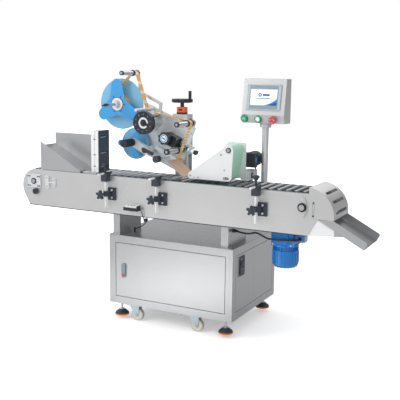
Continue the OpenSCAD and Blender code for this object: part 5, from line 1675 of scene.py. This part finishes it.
@dataclass
class WrapUnit(SubAssembly):
    """Wrap belt between two painted plates, with its rollers, motor and clamp."""

    motor: Pair = (784.0, 879.0)
    rib: Ring = Ring(40, 43, 4)
    rib_start: float = 262.0
    rib_pitch: float = 10.0
    rib_count: int = 6
    end_cap: Ring = Ring(0, 31, 1.4, 2, 1.4)
    end_cap_y: float = 328.4
    front: float = 60.0
    roller: Pair = (735.0, 944.0)
    roller_washer: Ring = Ring(6.2, 15.5, 3, 1.5, 0.8)
    roller_cap: tuple[Pair, ...] = ((0, 0), (11, 0), (10, 3.4), (0, 3.6))
    roller_cap_y: float = 57.6
    slot: Plate = Plate((-17, -7), (17, 7), 6.9, 0, 0.8, 0.3)
    slot_place: Pair = (722.0, 790.0)
    adjuster: Ring = Ring(0, 5, 1.4)
    adjuster_place: Triple = (729, 59.2, 790)
    bolt: Ring = Ring(0, 8, 6.5, 1.5, 1.5)
    bolt_washer: Ring = Ring(8.5, 15, 2)
    bolt_place: Triple = (800, 240, 792)
    motor_plate: Plate = Plate((-10, -13), (10, 13), 2, 0, 0.8, 0.2)
    motor_plate_place: Triple = (824, 235, 879)
    front_screws: tuple[Triple, ...] = (
        (551, 783, 4.6), (690, 918, 4.6), (712, 834, 4.6), (757, 786, 4.2), (528, 783, 3.4),
    )
    back: float = 216.0
    back_screws: tuple[Pair, Pair] = ((600, 690), (792, 858))
    back_radius: float = 4.6

    def dress(self) -> None:
        """Gives the wrap unit's nodes their finishes."""
        bracket = Block((None, 264, None), (None, 280, None))
        dress("support_posts", TURNED_POST, (bracket, ALUMINIUM))
        dress("wrap_frame", CREAM, (Block((None, 216.2, None)), ALUMINIUM))
        dress("wrap_belt", BELT)
        dress("wrap_motor", SATIN_BLACK)
        for name in ("wrap_top_roller", "wrap_left_roller", "wrap_right_roller"):
            dress(name, TURNED_STEEL)

    def build(self) -> None:
        """Builds the motor's ribs and plate, the top roller's washer, a black plate of painted
        shade in the slot, and the clamp.
        """
        x, z = self.motor
        ribs = Solid()
        for k in range(self.rib_count):
            y = self.rib_start + self.rib_pitch * k
            ribs.rings(facing_back(x, y, z), self.rib, sides=48)
        ribs.rings(facing_back(x, self.end_cap_y, z), self.end_cap, sides=40)
        ribs.piece("wrap_motor_ribs", "wrap_unit", "motor_black", BLACK)
        plate = Solid().plates(facing_right(*self.motor_plate_place), self.motor_plate)
        plate.piece("wrap_motor_plate", "wrap_unit", "motor_blue", MOTOR_PALE)
        x, z = self.roller
        bolt = facing_right(*self.bolt_place)
        dark = Solid().rings(facing_front(x, self.front, z), self.roller_washer)
        # A black plate drawn in the front plate's slot hole: painted shade.
        dark.plates(facing_front(self.slot_place[0], self.front, self.slot_place[1]), self.slot)
        dark.rings(bolt, self.bolt_washer)
        light = Solid().turned(self.roller_cap, facing_front(x, self.roller_cap_y, z))
        light.rings(facing_front(*self.adjuster_place), self.adjuster, sides=20)
        light.rings(bolt, self.bolt, sides=24)
        dark.piece("wrap_washers", "wrap_unit", "black_part", SATIN_BLACK)
        light.piece("wrap_roller_cap", "wrap_unit", "roller_steel", TURNED_STEEL)

    def screws(self, pattern: ScrewPattern) -> None:
        """Sets the plates' screws."""
        places: list[Screw] = [((x, self.front, z), TO_FRONT, r) for x, z, r in self.front_screws]
        xs, zs = self.back_screws
        places += [((x, self.back, z), TO_BACK, self.back_radius) for x in xs for z in zs]
        pattern.set_screws("wrap_screws", "wrap_unit", PLAIN_STEEL, places)


@dataclass
class LabelHead(SubAssembly):
    """Label head on its lifting column: reels, rollers, clutch, knobs, web and peel plate."""

    reel: Pair = share(-0.414, 0.759)
    takeup: Pair = share(0.082, 0.13)
    clutch: Pair = share(0.256, 0.724)
    knob: Pair = share(0.646, 0.59)
    box: Pair = share(0.722, 0.575)
    box_half: Pair = (43.5, 32.5)
    low_knob: Pair = share(0.771, 0.233)
    drive: Pair = share(0.909, 0.476)
    corner: Pair = share(0.912, 1.068)
    dancer: Pair = share(-0.33, 1.5)
    pivot: Pair = share(0.423, 0.19)
    sensor: Pair = share(1.1, 0.62)
    web: Pair = (176.0, 216.0)
    web_half: float = 0.5
    lead_start: Pair = (-201.9, 236.6)
    lead_end: Pair = (42.1, 265.7)
    lead_radius: float = 13.95
    lead_turn: Pair = (159.7, 8.48)
    lead_bend: Pair = (268.0, 431.0)
    lead_steps: int = 24
    lead_arc: int = 15
    column: Pair = (323.0, 291.0)
    rod_reach: float = 34.0
    rod_radius: float = 10.6
    counter_parts: tuple[Plate, ...] = (
        Plate((-26, -21.5), (26, 21.5), 8, 1122, 1153.5, 4.0),
        Plate((-27, -22.5), (27, 22.5), 7, 1111.5, 1123, 1.0),
    )
    counter_dome: Ring = Ring(0, 17, 5, 3, 5)
    counter_dome_z: float = 1151.0
    counter_window: Plate = Plate((-13, 5), (13, 15), 2, 0, 1.2, 0.4)
    counter_window_place: Pair = (21.4, 1128.0)
    wheel_cap: Ring = Ring(0, 13, 7, 4, 3)
    wheel_cap_z: float = 1199.0
    reel_front: float = 170.0
    reel_collar: Ring = Ring(23, 38, 4.5, 2, 1.5)
    reel_sleeve: Ring = Ring(9.2, 15, 10)
    reel_sleeve_y: float = 155.0
    reel_plug: Ring = Ring(0, 4, 0.9, 0.6, 0.9)
    reel_groove: Ring = Ring(38.2, 41.5, 2.2)
    takeup_nut: Ring = Ring(9.4, 12.5, 5, 1, 1)
    hole_circle: float = 50.0
    clutch_nut: Ring = Ring(0, 8, 16, 1.5, 2)
    clutch_disc: Ring = Ring(0, 16, 3, 1, 3)
    clutch_cap: Ring = Ring(0, 3.2, 0.9, 0.6, 0.9)
    clutch_front: float = 105.0
    dial_disc: Ring = Ring(0, 24, 1.2, 0.6, 1.2)
    dial_front: float = 149.2
    dial_bar: Pair = (12.0, 3.5)
    sensor_ends: tuple[Plate, ...] = (
        Plate((-14, -9), (0, 9), 4, -6, 18, 2.0),
        Plate((40, -12), (60, 12), 4, -9, 20, 2.0),
    )
    sensor_tube: Plate = Plate((-2, -8), (42, 8), 3, -5, 17, 2.0)
    sensor_band: Plate = Plate((8, -10), (22, 10), 2, -7, 19, 1.0)
    lever: Plate = Plate((-9, -8), (74, 8), 7.9, -2, 12, 2.0)
    lever_shift: Triple = (-12, 132, 6)
    lever_hub: Ring = Ring(0, 13, 21, 3, 3)
    lever_hub_y: float = 138.0
    plate_front: float = 240.0
    plate_screws: tuple[Pair, ...] = (
        (0.45, 0.9), (0.62, 0.9), (0.78, 0.9), (0.5, 0.07), (0.66, 0.06), (0.96, 0.86), (0.05, 0.5),
    )
    box_front: float = 185.0
    box_screws: Pair = (37.0, 26.0)

    def roller_zones(self, centre: Pair) -> tuple[Zone, ...]:
        """Dark ends and collars, and the bare journal, of a web roller."""
        low, high = self.web
        return (
            (Block(high=(None, 62, None)), SATIN_BLACK),
            (Block((None, low - 6, None), (None, low, None)), SATIN_BLACK),
            (Block((None, high, None), (None, high + 6, None)), SATIN_BLACK),
            (Block((None, 228, None)), SATIN_BLACK),
            (Round(Across.Y, centre, 7.5, None, 51), TURNED_STEEL),
        )

    def dress(self) -> None:
        """Gives the head's nodes their finishes."""
        head = {"setting": Setting.HEAD}
        (u, v), (du, dv) = self.box, self.box_half
        box = Block((u - du, 184, v - dv), (u + du, 239.5, v + dv))
        dress(
            "head_plate",
            HEAD_METAL,
            (box, SATIN_BLACK),
            (Round(Across.Y, self.low_knob, 20.5, None, 84.5), BLACK),
            (Block((None, 248.5, None)), ALUMINIUM),
            **head,
        )
        lobes = Block((None, 165, None), (None, 174.3, None))
        dress(
            "supply_reel",
            REEL_BLUE,
            (lobes, LOBE_BLUE),
            (Round(Across.Y, self.reel, 58.5, 174.2, 217.8), WEB),
            (Round(Across.Y, self.reel, 23, None, 170), ALUMINIUM),
            (Block(high=(None, 56, None)), SATIN_BLACK),
            (Block((None, 222.5, None)), PLAIN_STEEL),
            **head,
        )
        dress(
            "takeup_reel",
            REEL_BLUE,
            (lobes, LOBE_BLUE),
            (Round(Across.Y, self.takeup, 29.5, 174.2, 217.8), HUB_BLUE),
            (Round(Across.Y, self.takeup, 9.5), PLAIN_STEEL),
            **head,
        )
        u, v = self.clutch
        dress(
            "clutch_wheel",
            SATIN_BLACK,
            (Round(Across.Y, self.clutch, 48.5, 135.2), TURNED_STEEL),
            (Round(Across.Y, self.clutch, 33.0, None, 111, 21.0), WHITE),
            (Block((u, None, v - 9), (u + 40, 112, v + 9)), SATIN_BLACK),
            **head,
        )
        dress("tension_knob", BLACK, (Block((None, 176, None)), PLAIN_STEEL), **head)
        dress("dancer_arm", ALUMINIUM, **head)
        for name in ("dancer", "corner", "drive"):
            zones = self.roller_zones(getattr(self, name))
            dress(f"{name}_roller", TURNED_STEEL, *zones, **head)
        dress("pinch_arm", HEAD_METAL, **head)
        dress("pinch_roller", RUBBER, (Block((None, 131.5, None)), PLAIN_STEEL), **head)
        dress("peel_plate", PEEL, **head)
        pitches = [(139 + 18 * k, 145 + 18 * k) for k in range(8)]
        faces = [(Block((None, None, low), (None, None, high)), LABEL) for low, high in pitches]
        dress("label_web", WEB, *faces, **head)
        x, y = self.column
        rods = [
            (Round(Across.Z, (x + s * self.rod_reach, y), self.rod_radius), TURNED_POST)
            for s in (-1, 1)
        ]
        dress(
            "head_column",
            ALUMINIUM,
            *rods,
            (Block((None, None, 1112.2)), ORANGE),
            (Block((None, None, 1112.2), (None, None, 1121)), SATIN_BLACK),
        )
        dress("handwheel", SATIN_BLACK, (Round(Across.Z, (x, y), 8.6, None, 1111), TURNED_POST))

    def lead(self) -> None:
        """Builds the web over the tension roller as one fixed piece that rides on no body."""
        start, end, middle = (Vector(p) for p in (self.lead_start, self.lead_end, self.dancer))
        first, step = self.lead_turn
        turns = [math.radians(first - step * k) for k in range(self.lead_arc)]
        arc = [middle + self.lead_radius * Vector((math.cos(t), math.sin(t))) for t in turns]
        n = self.lead_steps
        path = [start.lerp(arc[0], k / n) for k in range(n)] + arc
        path += [arc[-1].lerp(end, k / n) for k in range(1, n + 1)]
        pitches = [(-260 + 38 * k, -248 + 38 * k) for k in range(8)]
        spans = [(Block((low, None, None), (high, None, None)), LABEL) for low, high in pitches]
        finish = material(WEB, spans, Setting.HEAD, "label_lead")
        band = Solid().band(path, self.web_half, *self.web)
        made = band.piece("label_lead", "", "web_paper", finish)
        y = sum(self.web) / 2
        low, high = (metres(on_head(middle.x, y, v)) for v in self.lead_bend)
        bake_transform(made)
        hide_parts("web_lead")

    def counter(self) -> None:
        """Builds the height counter, its dark base and window, and the handwheel's cap."""
        x, y = self.column
        at = upright(x, y, 0)
        housing, base = self.counter_parts
        orange = Solid().plates(at, housing)
        orange.rings(upright(x, y, self.counter_dome_z), self.counter_dome)
        orange.piece("height_counter", "machine", "red_button", ORANGE)
        dark = Solid().plates(at, base)
        reach, z = self.counter_window_place
        dark.plates(facing_front(x, y - reach, z), self.counter_window)
        dark.piece("counter_base", "machine", "black_part", SATIN_BLACK)
        cap = Solid().rings(upright(x, y, self.wheel_cap_z), self.wheel_cap, sides=24)
        cap.piece("handwheel_cap", "hand_wheel", "roller_steel", TURNED_POST)

    def hole_spots(self, centre: Pair, y: float, count: int, start: float) -> list[Matrix]:
        """Frames on a wheel's ring of holes.

        Args:
            centre: the wheel's place on the head plate.
            y: depth of its front.
            count: number of holes.
            start: angle of the first.

        Returns:
            The frames, which face the front.
        """
        made: list[Matrix] = []
        for k in range(count):
            a = 2 * math.pi / count * k + start
            u = centre[0] + self.hole_circle * math.cos(a)
            made.append(facing_head(u, y, centre[1] + self.hole_circle * math.sin(a)))
        return made

    def reels(self) -> None:
        """Builds the supply reel's collar and ring of plugs and the take-up reel's nut."""
        u, v = self.reel
        front = facing_head(u, self.reel_front, v)
        collar = Solid().rings(front, self.reel_collar, sides=48)
        collar.rings(facing_head(u, self.reel_sleeve_y, v), self.reel_sleeve)
        collar.piece("reel_collar", "supply", "head_aluminium", WHITE)
        plugs = Solid()
        for at in self.hole_spots(self.reel, self.reel_front, 6, 0.4):
            plugs.rings(at, self.reel_plug, sides=16)
        plugs.rings(front, self.reel_groove, sides=48)
        plugs.piece("reel_hole_plugs", "supply", "black_part", SATIN_BLACK)
        at = facing_head(self.takeup[0], self.reel_front, self.takeup[1])
        nut = Solid().rings(at, self.takeup_nut, sides=6)
        nut.piece("takeup_nut", "takeup", "black_part", SATIN_BLACK)

    def wheels(self) -> None:
        """Builds the clutch wheel's nut and ring of caps and the tension knob's dial."""
        u, v = self.clutch
        nut = Solid().rings(facing_head(u, self.clutch_front + 0.2, v), self.clutch_nut, sides=6)
        nut.rings(facing_head(u, self.clutch_front + 0.4, v), self.clutch_disc)
        nut.piece("clutch_nut", "clutch", "black_part", BLACK)
        caps = Solid()
        for at in self.hole_spots(self.clutch, self.clutch_front, 10, 0.0):
            caps.rings(at, self.clutch_cap, sides=12)
        caps.piece("clutch_hole_caps", "clutch", "roller_steel", TURNED_STEEL)
        (u, v), (du, dv) = self.knob, self.dial_bar
        disc = Solid().rings(facing_head(u, self.dial_front, v), self.dial_disc, sides=48)
        zones = (
            (Round(Across.Y, self.knob, 30), BUTTON_WHITE),
            (Round(Across.Y, self.knob, 21, inner=15.5), LOBE_BLUE),
            (Block((u - du, None, v - dv), (u + du, None, v + dv)), HUB_BLUE),
        )
        dial = material(BUTTON_WHITE, zones, Setting.HEAD, "knob_dial")
        disc.piece("tension_dial", "knob", "white_button", dial)

    def arms(self) -> None:
        """Builds the label sensor on its tube and the pressure arm's lever."""
        at = facing_head(self.sensor[0], self.web[0], self.sensor[1])
        for name, slot, finish, plates in (
            ("label_sensor", "black_part", SATIN_BLACK, self.sensor_ends),
            ("sensor_tube", "roller_steel", POST_METAL, (self.sensor_tube,)),
            ("sensor_band", "motor_blue", PALE_BLUE, (self.sensor_band,)),
        ):
            Solid().plates(at, *plates).piece(name, "label_head", slot, finish)
        (u, v), (du, y, dv) = self.pivot, self.lever_shift
        lever = Solid().plates(facing_head(u + du, y, v + dv), self.lever)
        lever.rings(facing_head(u, self.lever_hub_y, v), self.lever_hub, sides=28)
        lever.piece("pressure_lever", "pinch", "black_part", BLACK)

    def build(self) -> None:
        """Builds the web over the tension roller, the counter and the wheels' trim."""
        self.lead()
        self.counter()
        self.reels()
        self.wheels()
        self.arms()

    def screws(self, pattern: ScrewPattern) -> None:
        """Sets the head plate's and the drive box's screws."""
        places: list[Screw] = []
        for a, b in self.plate_screws:
            u, v = share(a, b)
            places.append((on_head(u, self.plate_front, v), TO_FRONT, 4.4))
        (u, v), (du, dv) = self.box, self.box_screws
        places += [
            (on_head(u + sx * du, self.box_front, v + sz * dv), TO_FRONT, 3.6)
            for sx in (-1, 1)
            for sz in (-1, 1)
        ]
        pattern.set_screws("head_screws", "label_head", PLAIN_STEEL, places)


@dataclass
class Controls(SubAssembly):
    """Control box with its screen and three push buttons."""

    middle: float = 849.0
    face_foot: Pair = (250.0, 1129.4)
    face_up: Triple = (0.0, 34.0, 197.0)
    strip_up: Triple = (0.0, -12.0, 46.0)
    strip_foot: Pair = (262.0, 1083.4)
    strip_z: float = 1106.0
    buttons: Triple = (739.0, 822.0, 911.0)
    bezel_inside: Block = Block((764, None, 1160), (934, None, 1290))
    screen_corner: Pair = (79.0, 1181.6)
    screen_size: Pair = (158.0, 86.7)
    screen_bars: tuple[tuple[float, float, float, float, str], ...] = (
        (0.46, 0.72, 0.6, 0.72, "#174f96"),
        (0.2, 0.74, 0.42, 0.47, "#2c79c4"),
        (0.27, 0.67, 0.32, 0.35, "#a9cfe8"),
    )
    mark_place: Pair = (0.36, 0.66)
    mark_radii: Pair = (0.05, 0.115)
    mark_wide: float = 1.82
    corner_start: float = 0.42
    corner_rise: float = 1.5
    corner_bands: tuple[tuple[float, str], ...] = (
        (1.0, "#a9cfe8"), (0.78, "#2c79c4"), (0.42, "#174f96"),
    )
    glass: Plate = Plate((-79, 53), (79, 141), 1.5, 5.0, 6.3, 0.4)
    lip: tuple[Plate, ...] = (
        Plate((-99, 26), (99, 31), 2.0, 5.0, 7.0, 0.8),
        Plate((-99, 163), (99, 168), 2.0, 5.0, 7.0, 0.8),
        Plate((-99, 26), (-94, 168), 2.0, 5.0, 7.0, 0.8),
        Plate((94, 26), (99, 168), 2.0, 5.0, 7.0, 0.8),
    )
    collar: Ring = Ring(17.2, 23.2, 4, 1.2, 1.6)
    collar_mark_turns: tuple[float, ...] = (0.7, 1.1, 2.3, 4.9)
    collar_mark: Triple = (18.0, 21.4, 1.0)
    stop_mark: Triple = (11.5, 4.2, 2.2)
    back: float = 350.0
    back_screws: tuple[Pair, Pair] = ((735, 963), (1100, 1310))

    def dress(self) -> None:
        """Gives the box, the screen's bezel and the buttons their finishes."""
        dress("control_box", BOX_GREY)
        dress("touch_screen", BEZEL, (self.bezel_inside, BEZEL_DARK))
        start, reset, _ = self.buttons
        z = self.strip_z
        dress("start_button", GREEN, (Round(Across.Y, (start, z), 9.5), PALE_BLUE))
        dress("reset_button", GREEN, (Round(Across.Y, (reset, z), 12.5), BUTTON_WHITE))
        dress("stop_button", RED)

    def screen_picture(self) -> Material:
        """Material of the lit screen: white, a plain round mark, soft bars and a blue corner."""
        made = bpy.data.materials.new("screen_picture")
        made.use_nodes = True
        graph = Graph(made.node_tree)
        space = Space(graph)
        x, _, z = space.axes
        left, foot = self.screen_corner
        wide, tall = self.screen_size
        u, v = (x - (self.middle - left)) / wide, (z - foot) / tall
        start = self.corner_start
        curve = (u - start) * (u - start) * self.corner_rise
        right = u > start
        grain = graph.noise(space.vector, 12.0, 1.0) * 0.3
        colour = graph.mix(grain, linear("#f7fafc"), linear("#eef4f9"))
        for share_up, tone in self.corner_bands:
            colour = graph.mix((v < curve * share_up) * right, colour, linear(tone))
        du, dv = (u - self.mark_place[0]) * self.mark_wide, v - self.mark_place[1]
        away = (du * du + dv * dv).math("SQRT", du * du + dv * dv)
        inner, outer = self.mark_radii
        colour = graph.mix((away < outer) * (away > inner), colour, linear("#174f96"))
        for low, high, bottom, top, tone in self.screen_bars:
            inside = u.between(low, high) * v.between(bottom, top)
            colour = graph.mix(inside, colour, linear(tone))
        graph.surface(
            {
                "Base Color": colour,
                "Roughness": 0.16 + graph.noise(space.vector, 60.0) * 0.08,
                "Emission Color": graph.mix(0.82, colour, (0.0, 0.0, 0.0, 1.0)),
                "Emission Strength": 0.6,
            }
        )
        return made

    def screen(self) -> None:
        """Builds the screen's glass and the bezel's lip."""
        up = Vector(self.face_up).normalized()
        face = frame_at((self.middle, *self.face_foot), (1, 0, 0), up)
        glass = Solid().plates(face, self.glass)
        glass.piece("screen_glass", "control_head", "screen_panel", self.screen_picture())
        lip = Solid().plates(face, *self.lip)
        lip.piece("bezel_lip", "control_head", "screen_panel", BEZEL)

    def button_trim(self) -> None:
        """Builds the two green buttons' collars with their marks and the stop button's marks."""
        strip = Vector(self.strip_up).normalized()
        z = self.strip_z
        slope = self.strip_up[1] / self.strip_up[2]
        y = self.strip_foot[0] + slope * (z - self.strip_foot[1])
        places = [frame_at((x, y, z), (1, 0, 0), strip) for x in self.buttons]
        collars, marks, stop = Solid(), Solid(), Solid()
        near, far, half = self.collar_mark
        for at in places[:2]:
            collars.rings(at, self.collar, sides=40)
            for a in self.collar_mark_turns:
                c, t = Vector((math.cos(a), math.sin(a))), Vector((-math.sin(a), math.cos(a)))
                t = t * half
                corners = (c * near - t, c * far - t, c * far + t, c * near + t)
                marks.prism([tuple(p) for p in corners], 3.8, 4.5, at)
        collars.piece("button_collars", "control_head", "green_button", GREEN)
        marks.piece("collar_marks", "control_head", "white_button", BUTTON_WHITE)
        reach, along, across = self.stop_mark
        for k in range(3):
            a = 2 * math.pi * k / 3 + 0.5
            c = Vector((math.cos(a), math.sin(a)))
            t = Vector((-math.sin(a), math.cos(a))) * along
            tip, side = c * reach, c * across
            corners = (tip - t - side, tip - t + side, tip + t * 1.4)
            stop.prism([tuple(p) for p in corners], 23.0, 24.6, places[2])
        stop.piece("stop_marks", "stop", "red_button", WHITE)

    def build(self) -> None:
        """Builds the screen and the buttons' trim."""
        self.screen()
        self.button_trim()

    def screws(self, pattern: ScrewPattern) -> None:
        """Sets the screws of the box's back."""
        xs, zs = self.back_screws
        places = [((x, self.back, z), TO_BACK, 4.0) for x in xs for z in zs]
        pattern.set_screws("box_screws", "control_head", ZINC, places)


def main() -> None:
    """Builds the studio, then every sub-assembly."""
    logging.basicConfig(level=logging.INFO, format="%(name)s: %(message)s")
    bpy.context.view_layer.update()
    studio = Studio()
    studio.camera()
    Cords().build()
    pattern = ScrewPattern()
    parts = (Cabinet(), Track(), Feed(), Guides(), WrapUnit(), LabelHead(), Controls())
    for part in parts:
        part.dress()
        part.build()
        part.screws(pattern)
        log.info("finished the %s", type(part).__name__)
    bpy.data.objects.remove(pattern.head)
    studio.floor()
    studio.light()


if __name__ == "__main__":
    main()
